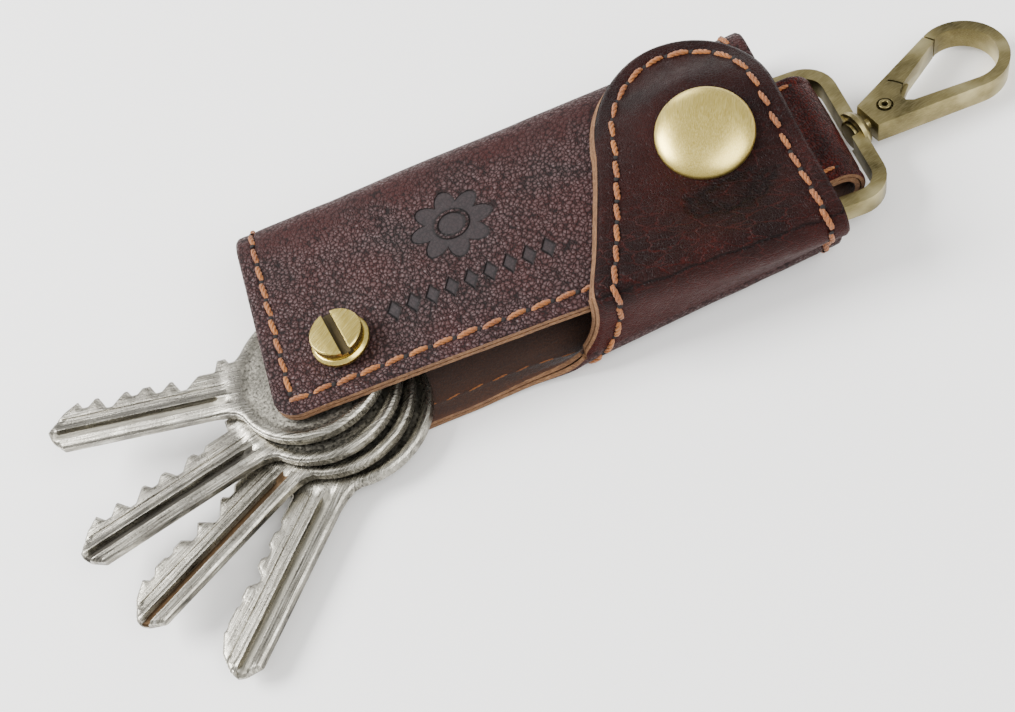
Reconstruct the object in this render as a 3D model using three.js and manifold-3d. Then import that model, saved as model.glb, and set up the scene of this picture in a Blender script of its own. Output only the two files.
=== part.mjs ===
// Leather key organiser: a folded and stitched leather case with four keys on a
// binding screw, a snap-closed flap, and a swivel hook held in a leather tab.
// Millimetres. The origin is on the binding screw's axis at the resting plane.
// +X runs along the case to the hook, +Y to the top fold, +Z out of the front face.
import * as THREE from 'three';
import { mergeVertices } from 'three/addons/utils/BufferGeometryUtils.js';
import Module from 'manifold-3d';

const wasm = await Module();
wasm.setup();

const DEG = Math.PI / 180;

// Leather layers: grain leather outside, suede lining inside.
const GRAIN = 1.05;
const GLUE_GAP = 0.25;
const SUEDE = 0.9;
const LEATHER = GRAIN + GLUE_GAP + SUEDE;

// Case.
const LEFT = -12.9;
const RIGHT = 76.8;
const STACK_LEFT = 14.3;
const STACK_RIGHT = 13.3;
const TAPER_FROM = 18;
const TOP_EDGE = 32.1;
const FRONT_EDGE = -9.3;
const FRONT_EDGE_SLOPE = -0.038;
const BOTTOM_EDGE = -13.4;
const BOTTOM_EDGE_SLOPE = 0.06;
const BOTTOM_FROM = 36;
const BOTTOM_RADIUS = 5.2;
const ROLL_FROM = 14;
const ROLL_FULL = 38;
const BACK_EDGE = -11.8;
const SWEEP = [
  [25, -2], [28, 0], [31.5, 0.7], [34, 1.5], [35.8, 2.7], [37, 4.2], [37.7, 5.4], [37.7, 10],
];
const CORNER = 4.2;

// Flap.
const FLAP_GAP = 1.0;
const CREASE_RADIUS = 3.4;
const CREASE_RISE = 6.2;
const CREASE_PULL = 3.0;
const WALL_LEAN_IN = 0.9;
const FLAP_LEFT_LOW = 38.8;
const FLAP_LEFT_HIGH = 47.4;
const FLAP_ROUND_FROM = 13;
const FLAP_TIP = 29.6;

// Binding screw.
const POST_RADIUS = 2.2;
const POST_BORE = 1.5;
const POST_FLANGE = 4.7;
const POST_TOP = 14.0;
const WASHER_RADIUS = 4.75;
const WASHER_THICK = 1.35;
const SCREW_RADIUS = 4.2;
const SCREW_HEAD = 1.7;
const SLOT_WIDTH = 1.5;
const SLOT_DEPTH = 0.9;
const SLOT_ANGLE = 100;

// Snap fastener.
const SNAP_X = 63.5;
const SNAP_Y = 7.4;
const CAP_RADIUS = 7.75;
const CAP_HEIGHT = 4.2;
const CAP_DOME = 9.5;

// Keys, top of the stack first: resting direction and the depths of the five cuts.
const KEY_THICK = 2.1;
const KEY_PITCH = 2.4;
const KEY_FLOOR = 2.5;
const KEY_HOLE = 2.55;
const BOW_RADIUS = 12.9;
const BOW_X = 6.6;
const BOW_Y = 1.2;
const BLADE_END = 51.4;
const BLADE_TOP = -1.9;
const BLADE_BACK = 6.4;
const CUT_FROM = 28;
const CUT_PITCH = 4.3;
const KEYS = [
  { name: 'key_1', turn: 167.6, cuts: [2.1, 1.5, 1.0, 2.2, 1.3] },
  { name: 'key_2', turn: 193.0, cuts: [0.8, 1.9, 1.2, 2.1, 1.6] },
  { name: 'key_3', turn: 209.5, cuts: [0.9, 2.3, 1.6, 0.5, 1.0] },
  { name: 'key_4', turn: 229.4, cuts: [0.6, 0.9, 1.5, 0.4, 0.2] },
];

// Tab loop at the right-hand end.
const TAB_LOW = -4.2;
const TAB_HIGH = 18.0;
const TAB_END = 83.8;
const TAB_FROM = 60;
const TAB_MID_Z = 6.5;
const TAB_HALF = 4.0;
const TAB_GRAIN = 0.9;
const TAB_LINING = 0.8;
const TAB_GAP = 0.2;

// Swivel bail: a rounded ring whose straight bar lies in the tab loop.
const BAIL_FAR = 87.2;
const BAIL_Y = 6.6;
const BAIL_DROOP = 5;
const BAIL_BAR = 2.2;
const BAIL_HEIGHT = 3.4;
const BAIL_WIDTH = 29.2;
const BAIL_DEPTH = 15.6;
const BAIL_CORNER = 5.4;
const BAR_CORNER = 3.4;
const COLLAR_RADIUS = 3.5;
const COLLAR_BACK = 1.3;
const PIN_RADIUS = 1.0;
const PIN_HEAD = 2.85;

// Hook.
const HOOK_TURN = 16;
const HOOK_GAP = 1.7;
const HOOK_THICK = 4.0;
const HOOK_BASE = 2.6;
const HOOK_ROUND = 7.3;
const HOOK_ROUND_X = 19.2;
const HOOK_WALL = 1.8;
const HOOK_SLOPE = 14.4;
const RIVET_X = 3.4;
const CHEEK_RADIUS = 4.9;
const NOSE_RADIUS = 15.6;
const TONGUE = 1.5;

const MATERIALS = {
  grain: { color: 0x3b1c1a, roughness: 0.5, metalness: 0 },
  suede: { color: 0xa9744a, roughness: 0.95, metalness: 0 },
  tab: { color: 0x5a1f18, roughness: 0.45, metalness: 0 },
  brass: { color: 0xb8a878, roughness: 0.32, metalness: 1 },
  antique: { color: 0x8d8160, roughness: 0.38, metalness: 1 },
  nickel: { color: 0xc9c6bd, roughness: 0.3, metalness: 1 },
};

const bezier = (a, b, c, d, t) => [0, 1].map((i) => a[i] * (1 - t) ** 3 + 3 * b[i] * t * (1 - t) ** 2
  + 3 * c[i] * t * t * (1 - t) + d[i] * t ** 3);
const clamp01 = (t) => Math.min(1, Math.max(0, t));
const lerp = (a, b, t) => a + (b - a) * t;

function toManifold(geometry) {
  const plain = geometry.clone();
  plain.deleteAttribute('normal');
  plain.deleteAttribute('uv');
  const merged = mergeVertices(plain, 1e-5);
  return new wasm.Manifold(new wasm.Mesh({
    numProp: 3,
    vertProperties: new Float32Array(merged.attributes.position.array),
    triVerts: new Uint32Array(merged.index.array),
  }));
}

function toGeometry(manifold) {
  const raw = manifold.getMesh();
  const geometry = new THREE.BufferGeometry();
  geometry.setAttribute('position', new THREE.BufferAttribute(raw.vertProperties, 3));
  geometry.setIndex(new THREE.BufferAttribute(raw.triVerts, 1));
  return geometry;
}

function part(name, material, solid) {
  const geometry = toGeometry(solid).toNonIndexed();
  geometry.computeVertexNormals();
  const mesh = new THREE.Mesh(geometry, new THREE.MeshStandardMaterial(MATERIALS[material]));
  mesh.name = name;
  return mesh;
}

// Solid turned about Z from [radius, height] pairs that start and end on the axis.
function turned(profile, x = 0, y = 0, steps = 28) {
  const points = profile.map(([r, z]) => new THREE.Vector2(r, z));
  const geometry = new THREE.LatheGeometry(points, steps);
  geometry.rotateX(Math.PI / 2);
  geometry.translate(x, y, 0);
  return toManifold(geometry);
}

function cylinder(radius, low, high, x = 0, y = 0, steps = 28) {
  return turned([[0, low], [radius, low], [radius, high], [0, high]], x, y, steps);
}

function box(width, depth, height, x, y, z) {
  const geometry = new THREE.BoxGeometry(width, depth, height);
  geometry.translate(x, y, z);
  return toManifold(geometry);
}

function plate(points, low, high) {
  const shape = new THREE.Shape(points.map(([x, y]) => new THREE.Vector2(x, y)));
  const geometry = new THREE.ExtrudeGeometry(shape, { depth: high - low, bevelEnabled: false });
  geometry.translate(0, 0, low);
  return toManifold(geometry);
}

function arc(cx, cy, radius, from, to, steps) {
  const points = [];
  for (let i = 0; i <= steps; i += 1) {
    const a = lerp(from, to, i / steps) * DEG;
    points.push([cx + radius * Math.cos(a), cy + radius * Math.sin(a)]);
  }
  return points;
}

// ---- Case leather -----------------------------------------------------------

const stackAt = (x) => lerp(STACK_LEFT, STACK_RIGHT, clamp01((x - TAPER_FROM) / (RIGHT - TAPER_FROM)));
const frontEdgeAt = (x) => FRONT_EDGE + FRONT_EDGE_SLOPE * Math.max(0, x + 4);
const bottomEdgeAt = (x) => BOTTOM_EDGE + BOTTOM_EDGE_SLOPE * Math.max(0, x - BOTTOM_FROM);

// How far the bottom bend is rolled up: flat beside the keys, full under the flap.
function rollAt(x) {
  const t = clamp01((x - ROLL_FROM) / (ROLL_FULL - ROLL_FROM));
  return Math.max(0.001, t * t * (3 - 2 * t));
}

// Outer surface of the folded strip at one x, as named stretches of [y, z] points.
function sectionAt(x) {
  const stack = stackAt(x);
  const radius = stack / 2;
  const foldY = TOP_EDGE - radius;
  const bendY = bottomEdgeAt(x) + BOTTOM_RADIUS;
  const roll = rollAt(x);
  const bendRadius = BOTTOM_RADIUS / roll;
  const creaseY = frontEdgeAt(x) - FLAP_GAP - LEATHER;
  const flapZ = stack + FLAP_GAP + LEATHER;
  const wallTop = [creaseY + WALL_LEAN_IN, flapZ - CREASE_RISE];
  const lean = [wallTop[0] - bottomEdgeAt(x), wallTop[1] - BOTTOM_RADIUS];
  const pull = CREASE_PULL / Math.hypot(...lean);
  const creaseOut = [wallTop[0] + lean[0] * pull, wallTop[1] + lean[1] * pull];
  const creaseIn = [creaseY + CREASE_RADIUS - CREASE_PULL, flapZ];
  return {
    front: (t) => [lerp(frontEdgeAt(x), foldY, t), stack],
    fold: (t) => [foldY + radius * Math.sin(t * Math.PI), radius + radius * Math.cos(t * Math.PI)],
    back: (t) => [lerp(foldY, bendY, t), 0],
    bend: (t) => [
      bendY - bendRadius * Math.sin(roll * t * Math.PI / 2),
      bendRadius - bendRadius * Math.cos(roll * t * Math.PI / 2),
    ],
    wall: (t) => [lerp(bottomEdgeAt(x), wallTop[0], t), lerp(BOTTOM_RADIUS, wallTop[1], t)],
    crease: (t) => bezier(wallTop, creaseOut, creaseIn, [creaseY + CREASE_RADIUS, flapZ], t),
    flap: (t) => [lerp(creaseY + CREASE_RADIUS, FLAP_TIP, t), flapZ],
  };
}

// A row of the pattern: which stretch it is on, how far along, and its x limits.
const row = (stretch, t, left, right) => ({ stretch, t, left, right });

function stretchPoint(stretch, t, x) {
  return sectionAt(x)[stretch](t);
}

// Outer point and outward normal for a row at one x.
function surfacePoint(entry, x) {
  const step = 1e-3;
  const a = stretchPoint(entry.stretch, Math.max(0, entry.t - step), x);
  const b = stretchPoint(entry.stretch, Math.min(1, entry.t + step), x);
  const [y, z] = stretchPoint(entry.stretch, entry.t, x);
  const length = Math.hypot(b[0] - a[0], b[1] - a[1]);
  return { y, z, ny: -(b[1] - a[1]) / length, nz: (b[0] - a[0]) / length };
}

// Closed solid between two depths below the outer surface, over the given rows.
function leather(rows, near, far, inset = 0, columns = 12) {
  const positions = [];
  const index = [];
  const across = columns + 1;
  for (const depth of [near, far]) {
    for (const entry of rows) {
      for (let j = 0; j < across; j += 1) {
        const x = lerp(entry.left + inset, entry.right - inset, j / columns);
        const p = surfacePoint(entry, x);
        positions.push(x, p.y - p.ny * depth, p.z - p.nz * depth);
      }
    }
  }
  const layer = rows.length * across;
  const at = (side, i, j) => side * layer + i * across + j;
  const quad = (a, b, c, d) => index.push(a, b, c, a, c, d);
  for (let i = 0; i < rows.length - 1; i += 1) {
    for (let j = 0; j < columns; j += 1) {
      quad(at(0, i, j), at(0, i, j + 1), at(0, i + 1, j + 1), at(0, i + 1, j));
      quad(at(1, i, j), at(1, i + 1, j), at(1, i + 1, j + 1), at(1, i, j + 1));
    }
    quad(at(0, i, 0), at(0, i + 1, 0), at(1, i + 1, 0), at(1, i, 0));
    quad(at(0, i + 1, columns), at(0, i, columns), at(1, i, columns), at(1, i + 1, columns));
  }
  const last = rows.length - 1;
  for (let j = 0; j < columns; j += 1) {
    quad(at(0, 0, j + 1), at(0, 0, j), at(1, 0, j), at(1, 0, j + 1));
    quad(at(0, last, j), at(0, last, j + 1), at(1, last, j + 1), at(1, last, j));
  }
  const geometry = new THREE.BufferGeometry();
  geometry.setAttribute('position', new THREE.Float32BufferAttribute(positions, 3));
  geometry.setIndex(index);
  return toManifold(geometry);
}

// Left limit of a row that lies a distance from a rounded corner's edge.
function cornerLeft(distance) {
  const inside = Math.max(0, CORNER - distance);
  return LEFT + CORNER - Math.sqrt(CORNER * CORNER - inside * inside);
}

function frontRows() {
  const length = TOP_EDGE - STACK_LEFT / 2 - FRONT_EDGE;
  const distances = [0.05, 0.4, 1, 2, 3.1, CORNER, 10, 18, 26];
  return distances.map((d) => row('front', d / length, cornerLeft(d), RIGHT));
}

function foldRows(steps) {
  const rows = [];
  for (let i = 0; i <= steps; i += 1) {
    rows.push(row('fold', i / steps, LEFT, RIGHT));
  }
  return rows;
}

function backRows() {
  const rows = [];
  for (const t of [0.25, 0.5, 0.75]) {
    rows.push(row('back', t, LEFT, RIGHT));
  }
  for (let i = 0; i <= 10; i += 1) {
    rows.push(row('bend', i / 10, LEFT, RIGHT));
  }
  return rows;
}

// What is cut off the back panel: everything below its straight lower edge, a
// rounded corner, and the sweep that climbs the bottom bend to the flap's edge.
function backCutters(inset) {
  const edge = BACK_EDGE + inset;
  const left = LEFT + inset;
  const corner = plate([
    [left - 2, edge - 2], [left + CORNER, edge - 2],
    ...arc(left + CORNER, edge + CORNER, CORNER, 270, 180, 10), [left - 2, edge + CORNER],
  ], -2, 6);
  const sweep = [[LEFT - 5, -2], ...SWEEP.map(([x, z]) => [x + inset, z]), [LEFT - 5, 10]];
  const below = plate(sweep, -edge, 30).rotate([90, 0, 0]);
  return corner.add(below);
}

function wallRows() {
  const rows = [];
  const margin = 0.05;
  for (let i = 0; i <= 4; i += 1) {
    const t = lerp(margin, 1 - margin, i / 4);
    rows.push(row('wall', t, lerp(37.7, 38.6, t), RIGHT));
  }
  return rows;
}

// Left and right limits of the flap at one y: straight below, round at the tip.
function flapLimits(y) {
  const middle = (FLAP_LEFT_HIGH + RIGHT) / 2 + 0.6;
  const from = FLAP_ROUND_FROM;
  if (y <= from) {
    const t = clamp01((y + 12) / (from + 12));
    return [lerp(FLAP_LEFT_LOW, FLAP_LEFT_HIGH, t), RIGHT];
  }
  const rise = Math.min(0.998, (y - from) / (FLAP_TIP - from));
  const reach = Math.pow(1 - Math.pow(rise, 2.2), 1 / 2.0);
  return [middle - (middle - FLAP_LEFT_HIGH) * reach, middle + (RIGHT - middle) * reach];
}

function creaseRows(steps) {
  const rows = [];
  for (let i = 0; i <= steps; i += 1) {
    rows.push(row('crease', i / steps, FLAP_LEFT_LOW, RIGHT));
  }
  return rows;
}

function flapRows() {
  const low = frontEdgeAt(57) - FLAP_GAP - LEATHER + CREASE_RADIUS;
  const heights = [-8, -3, 2, 7, FLAP_ROUND_FROM, 16, 19, 21.5, 23.7, 25.5, 27, 28.2, 29, 29.4, 29.55];
  return heights.map((y) => row('flap', (y - low) / (FLAP_TIP - low), ...flapLimits(y)));
}

const grainLayer = (rows, inset) => leather(rows, 0, GRAIN, inset);
const suedeLayer = (rows, inset) => leather(rows, GRAIN + GLUE_GAP, LEATHER, inset);

function caseParts() {
  const body = [...frontRows(), ...foldRows(12), ...backRows()];
  const wall = wallRows();
  const flap = [...creaseRows(6), ...flapRows()];
  const screwHole = cylinder(POST_RADIUS + 0.35, -1, 20);
  const flangeHole = cylinder(POST_FLANGE + 0.2, -1, 1.2);
  const studHole = cylinder(1.9, 8, 14.2, SNAP_X, SNAP_Y);
  const socketHole = cylinder(5.3, 14.0, 20, SNAP_X, SNAP_Y);
  return [
    part('case_grain_leather', 'grain',
      grainLayer(body, 0).subtract(backCutters(0)).subtract(screwHole).subtract(flangeHole)
        .subtract(studHole)),
    part('case_suede_lining', 'suede',
      suedeLayer(body, 0.15).subtract(backCutters(0.15)).subtract(screwHole).subtract(studHole)),
    part('fold_grain_leather', 'grain', grainLayer(wall, 0)),
    part('fold_suede_lining', 'suede', suedeLayer(wall, 0.15)),
    part('flap_grain_leather', 'grain', grainLayer(flap, 0).subtract(socketHole)),
    part('flap_suede_lining', 'suede', suedeLayer(flap, 0.15).subtract(socketHole)),
  ];
}

// ---- Binding screw ------------------------------------------------------------

function screwParts() {
  const washerLow = STACK_LEFT + 0.25;
  const washerHigh = washerLow + WASHER_THICK;
  const headLow = washerHigh + 0.2;
  const headHigh = headLow + SCREW_HEAD;
  const post = turned([
    [0, 0], [POST_FLANGE, 0], [POST_FLANGE, 0.7], [POST_FLANGE - 0.2, 0.9], [POST_RADIUS, 0.9],
    [POST_RADIUS, POST_TOP], [POST_BORE, POST_TOP], [POST_BORE, 2], [0, 2],
  ]);
  const washer = turned([
    [POST_BORE, washerLow], [WASHER_RADIUS - 0.15, washerLow], [WASHER_RADIUS, washerLow + 0.3],
    [WASHER_RADIUS, washerHigh - 0.5], [WASHER_RADIUS - 0.5, washerHigh], [POST_BORE, washerHigh],
    [POST_BORE, washerLow],
  ]);
  const screw = turned([
    [0, 4], [1.0, 4], [1.2, 4.4], [1.2, headLow], [SCREW_RADIUS, headLow],
    [SCREW_RADIUS, headHigh - 0.2], [SCREW_RADIUS - 0.2, headHigh], [0, headHigh],
  ]);
  const slot = new THREE.BoxGeometry(4 * SCREW_RADIUS, SLOT_WIDTH, 2 * SLOT_DEPTH);
  slot.rotateZ(SLOT_ANGLE * DEG);
  slot.translate(0, 0, headHigh);
  return [
    part('screw_post', 'brass', post),
    part('screw_washer', 'brass', washer),
    part('binding_screw', 'brass', screw.subtract(toManifold(slot))),
  ];
}

// ---- Snap fastener --------------------------------------------------------------

function snapParts() {
  const front = stackAt(SNAP_X);
  const flap = front + FLAP_GAP + LEATHER;
  const rim = flap + 0.25;
  const dome = arc(0, rim + CAP_HEIGHT - CAP_DOME, CAP_DOME, 39, 90, 9);
  const cap = turned([
    [0, front + 3.3], [1.2, front + 3.3], [1.2, rim], [CAP_RADIUS - 0.5, rim],
    [CAP_RADIUS - 0.05, rim + 0.3], [CAP_RADIUS, rim + 0.6],
    ...dome.filter(([r]) => r < CAP_RADIUS - 0.3),
  ], SNAP_X, SNAP_Y, 36);
  const socket = turned([
    [2.2, front + 1.1], [4.6, front + 1.1], [4.9, front + 1.4], [4.9, front + 2.9],
    [0, front + 2.9], [0, front + 2.6], [2.2, front + 2.6], [2.2, front + 1.1],
  ], SNAP_X, SNAP_Y);
  const stud = turned([
    [0, front + 0.25], [4.4, front + 0.25], [4.4, front + 0.75], [1.3, front + 0.75],
    [1.3, front + 1.3], [1.8, front + 1.7], [1.6, front + 2.2], [0, front + 2.35],
  ], SNAP_X, SNAP_Y);
  const under = front - LEATHER;
  const rivet = turned([
    [0, under - 0.75], [3.9, under - 0.75], [4.1, under - 0.25], [1.5, under - 0.25],
    [1.5, front], [0, front],
  ], SNAP_X, SNAP_Y);
  return [
    part('snap_cap', 'brass', cap),
    part('snap_socket', 'nickel', socket),
    part('snap_stud', 'nickel', stud),
    part('snap_post', 'brass', rivet),
  ];
}

// ---- Keys ---------------------------------------------------------------------

// Edge of the blade with V cuts that have a short flat floor.
function cutEdge(cuts) {
  const points = [[22.6, BLADE_TOP]];
  cuts.forEach((depth, i) => {
    const x = CUT_FROM + i * CUT_PITCH;
    const run = depth * 0.9;
    points.push([x - 0.5 - run, BLADE_TOP], [x - 0.5, BLADE_TOP + depth]);
    points.push([x + 0.5, BLADE_TOP + depth], [x + 0.5 + run * 0.8, BLADE_TOP]);
  });
  return points.filter(([x], i) => i === 0 || x > points[i - 1][0] + 0.05);
}

function keyOutline(cuts) {
  const bow = arc(BOW_X, BOW_Y, BOW_RADIUS, 31, 329, 26);
  return [
    ...bow,
    [18.6, BLADE_TOP - 1.2], [19.8, BLADE_TOP - 0.9], [21.0, BLADE_TOP - 2.1], [22.4, BLADE_TOP - 2.1],
    ...cutEdge(cuts),
    [BLADE_END - 2.4, BLADE_TOP + 1.6], [BLADE_END - 0.5, BLADE_TOP + 4], [BLADE_END, BLADE_TOP + 5.3],
    [BLADE_END - 0.7, BLADE_BACK - 1.8], [BLADE_END - 2.8, BLADE_BACK],
    [22, BLADE_BACK], [19.6, BLADE_BACK + 0.3], [18.2, BLADE_BACK + 0.9],
  ];
}

function keyPart(key, place) {
  const low = KEY_FLOOR + (KEYS.length - 1 - place) * KEY_PITCH;
  const high = low + KEY_THICK;
  const blank = plate(keyOutline(key.cuts), low, high);
  const grooveLength = 40;
  const groove = box(grooveLength, 1.4, 1.2, 19 + grooveLength / 2, 4.2, high);
  const backGroove = box(grooveLength, 1.2, 1.1, 19 + grooveLength / 2, 2.0, low);
  const solid = blank
    .subtract(cylinder(KEY_HOLE, low - 1, high + 1))
    .subtract(groove)
    .subtract(backGroove)
    .rotate([0, 0, key.turn]);
  return part(key.name, 'nickel', solid);
}

// ---- Tab loop --------------------------------------------------------------------

function tabLayer(near, far) {
  const outer = TAB_HALF - near;
  const inner = TAB_HALF - far;
  const centre = TAB_END - TAB_HALF;
  const outline = [
    [TAB_FROM, TAB_MID_Z - outer],
    ...arc(centre, TAB_MID_Z, outer, -90, 90, 20),
    [TAB_FROM, TAB_MID_Z + outer],
    [TAB_FROM, TAB_MID_Z + inner],
    ...arc(centre, TAB_MID_Z, inner, 90, -90, 20),
    [TAB_FROM, TAB_MID_Z - inner],
  ];
  return plate(outline, -TAB_HIGH, -TAB_LOW).rotate([90, 0, 0]);
}

function tabParts() {
  const full = TAB_GRAIN + TAB_GAP + TAB_LINING;
  return [
    part('tab_grain_leather', 'tab', tabLayer(0, TAB_GRAIN)),
    part('tab_suede_lining', 'suede', tabLayer(TAB_GRAIN + TAB_GAP, full)),
  ];
}

// ---- Swivel bail and hook -----------------------------------------------------------

// The bail droops about its straight bar, so that the hook hangs towards the table.
function place(solid) {
  const reach = BAIL_DEPTH - BAIL_BAR / 2;
  const low = TAB_MID_Z - reach * Math.sin(BAIL_DROOP * DEG);
  return solid
    .rotate([0, 0, HOOK_TURN])
    .rotate([0, BAIL_DROOP, 0])
    .translate([BAIL_FAR, BAIL_Y, low]);
}

// Ring outline with wide corners on the hook's side and tight ones by the bar.
function roundedRing(inset) {
  const wide = BAIL_CORNER - inset;
  const tight = BAR_CORNER - inset;
  const y = BAIL_WIDTH / 2;
  return [
    ...arc(-BAIL_CORNER, BAIL_CORNER - y, wide, -90, 0, 8),
    ...arc(-BAIL_CORNER, y - BAIL_CORNER, wide, 0, 90, 8),
    ...arc(BAR_CORNER - BAIL_DEPTH, y - BAR_CORNER, tight, 90, 180, 8),
    ...arc(BAR_CORNER - BAIL_DEPTH, BAR_CORNER - y, tight, 180, 270, 8),
  ];
}

// Cylinder along the hook's own axis.
function axial(profile) {
  return turned(profile, 0, 0, 32).rotate([0, 90, 0]);
}

function bailPart() {
  const half = BAIL_HEIGHT / 2;
  const outer = plate(roundedRing(0), -half, half);
  const inner = plate(roundedRing(BAIL_BAR), -half - 1, half + 1);
  const ring = outer.subtract(inner).rotate([0, 0, -HOOK_TURN]);
  const collar = axial([
    [0, -COLLAR_BACK], [COLLAR_RADIUS, -COLLAR_BACK], [COLLAR_RADIUS, -0.6], [COLLAR_RADIUS - 0.6, 0.2],
    [COLLAR_RADIUS - 1.6, 0.6], [0, 0.6],
  ]);
  const bore = axial([
    [0, -6], [2.3, -6], [2.3, -1.0], [PIN_RADIUS + 0.25, -0.9], [PIN_RADIUS + 0.25, 3], [0, 3],
  ]);
  return part('swivel_bail', 'antique', place(ring.add(collar).subtract(bore)));
}

function hookOutline(inset) {
  const tangent = 90 + HOOK_SLOPE;
  const radius = HOOK_ROUND - inset;
  return [[0, -HOOK_BASE], ...arc(HOOK_ROUND_X, 0, radius, -tangent, tangent, 28), [0, HOOK_BASE]];
}

function hookOpening() {
  const radius = HOOK_ROUND - HOOK_WALL;
  const tangent = 90 + HOOK_SLOPE;
  return [
    ...arc(HOOK_ROUND_X, 0, radius, -tangent, tangent - 8, 26),
    [8.6, 1.6], [7.2, 0.9], [6.4, -0.2], [6.5, -1.4], [7.4, -2.2],
  ];
}

// Everything on the gate's side between two radii about the rivet.
function gateZone(near, far, low, high) {
  const sector = [...arc(RIVET_X, 0, far, 6, 45, 12), ...arc(RIVET_X, 0, near, 45, 6, 12)];
  return plate(sector, low, high);
}

function hookParts() {
  const half = HOOK_THICK / 2;
  const body = plate(hookOutline(0), -half, half).subtract(plate(hookOpening(), -half - 1, half + 1));
  const tongueSlot = plate(
    [...arc(RIVET_X, 0, CHEEK_RADIUS + 1, -20, 60, 10), ...arc(RIVET_X, 0, 2.5, 100, 300, 12)],
    -TONGUE / 2 - 0.3, TONGUE / 2 + 0.3,
  );
  const rivetHole = cylinder(1.35, -4, 4, RIVET_X, 0, 28);
  const pin = axial([
    [0, -PIN_HEAD - 0.7], [1.9, -PIN_HEAD - 0.7], [1.9, -PIN_HEAD],
    [PIN_RADIUS, -PIN_HEAD], [PIN_RADIUS, 0.6], [0, 0.6],
  ]);
  const frame = body
    .subtract(gateZone(CHEEK_RADIUS, NOSE_RADIUS, -3, 3))
    .subtract(tongueSlot)
    .add(pin)
    .subtract(rivetHole);
  const lever = body.intersect(gateZone(CHEEK_RADIUS + 0.3, NOSE_RADIUS - 0.3, -3, 3));
  const tongue = plate(
    [...arc(RIVET_X, 0, 6.4, 14, 34, 5), ...arc(RIVET_X, 0, 2.1, 100, 300, 12)],
    -TONGUE / 2, TONGUE / 2,
  );
  const gate = lever.add(tongue).subtract(cylinder(1.2, -3, 3, RIVET_X, 0, 28));
  const rivet = turned([
    [0.5, -half - 0.25], [1.0, -half - 0.25], [1.0, half + 0.25], [0.5, half + 0.25],
    [0.5, -half - 0.25],
  ], RIVET_X, 0, 28);
  const forward = (solid) => place(solid.translate([HOOK_GAP, 0, 0]));
  return [
    part('hook_frame', 'antique', forward(frame)),
    part('hook_gate', 'antique', forward(gate)),
    part('gate_rivet', 'antique', forward(rivet)),
  ];
}

const organiser = new THREE.Group();
organiser.name = 'key_organiser';
organiser.add(
  ...caseParts(),
  ...screwParts(),
  ...snapParts(),
  ...KEYS.map(keyPart),
  ...tabParts(),
  bailPart(),
  ...hookParts(),
);

export default organiser;
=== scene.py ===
"""Leather key organiser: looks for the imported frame, laid out as an add-on.

Sizes inside the making functions are in millimetres; meshes are written in metres.
The frame's origin is on the binding screw's axis at the resting plane, +X runs to the
hook, +Y to the top fold and +Z out of the front face.
"""
import math

import bmesh
import bpy
from bpy.props import FloatProperty, FloatVectorProperty, PointerProperty
from mathutils import Matrix, Vector, geometry, kdtree, noise


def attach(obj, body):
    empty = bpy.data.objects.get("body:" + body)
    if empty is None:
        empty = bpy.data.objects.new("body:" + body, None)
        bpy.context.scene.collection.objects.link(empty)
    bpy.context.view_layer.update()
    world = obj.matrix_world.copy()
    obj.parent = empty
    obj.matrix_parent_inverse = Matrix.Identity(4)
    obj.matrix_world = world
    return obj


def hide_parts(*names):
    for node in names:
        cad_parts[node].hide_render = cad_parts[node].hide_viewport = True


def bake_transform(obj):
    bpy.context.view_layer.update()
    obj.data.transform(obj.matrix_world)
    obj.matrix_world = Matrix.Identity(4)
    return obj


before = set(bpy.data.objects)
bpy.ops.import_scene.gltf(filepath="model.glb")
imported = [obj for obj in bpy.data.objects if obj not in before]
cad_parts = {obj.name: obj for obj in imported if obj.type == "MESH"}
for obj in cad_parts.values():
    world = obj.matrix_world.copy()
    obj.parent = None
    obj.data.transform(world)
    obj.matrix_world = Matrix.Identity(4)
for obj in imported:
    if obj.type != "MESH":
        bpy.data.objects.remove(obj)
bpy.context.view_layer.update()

bl_info = {
    "name": "Leather Key Organiser",
    "version": (1, 0, 0),
    "blender": (4, 5, 0),
    "location": "3D View > Sidebar > Key Organiser",
    "description": "Makes a stitched leather key organiser with keys, snap and swivel hook",
    "category": "Object",
}

MM = 0.001

# Detail and roughness of most of the noise patterns.
SOFT_NOISE = {"Detail": 3.0, "Roughness": 0.55}

# Leather layers.
GRAIN = 1.05
GLUE_GAP = 0.25
SUEDE = 0.9
LEATHER = GRAIN + GLUE_GAP + SUEDE

# Case and flap.
LEFT = -12.9
RIGHT = 76.8
STACK_LEFT = 14.3
STACK_RIGHT = 13.3
TAPER_FROM = 18.0
TOP_EDGE = 32.1
FRONT_EDGE = -9.3
FRONT_EDGE_SLOPE = -0.038
BOTTOM_EDGE = -13.4
BOTTOM_EDGE_SLOPE = 0.06
BOTTOM_FROM = 36.0
BOTTOM_RADIUS = 5.2
ROLL_FROM = 14.0
ROLL_FULL = 38.0
CORNER = 4.2
FLAP_GAP = 1.0
CREASE_RADIUS = 3.4
CREASE_RISE = 6.2
CREASE_PULL = 3.0
WALL_LEAN_IN = 0.9
FLAP_LEFT_LOW = 38.8
FLAP_LEFT_HIGH = 47.4
FLAP_ROUND_FROM = 13.0
FLAP_TIP = 29.6
FLAP_LEAN = 0.17

# The strip laid flat: name and length of each stretch from the front edge to the tip.
STRETCHES = (
    ("front", 35.6), ("fold", 21.8), ("back", 33.3), ("bend", 8.2),
    ("wall", 5.7), ("crease", 7.6), ("flap", 40.9),
)

# Middle of the pressed rosette on the front.
MARK_CENTRE = (22.1, 13.4)

# Hardware.
SNAP = (63.5, 7.4)
CAP_RADIUS = 7.75
CAP_DOME = 2.3
CAP_TILT = 15.0
CAP_LIFT = 1.3
SLOT_ANGLE = 100.0
POST_FLANGE = 4.7

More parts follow.
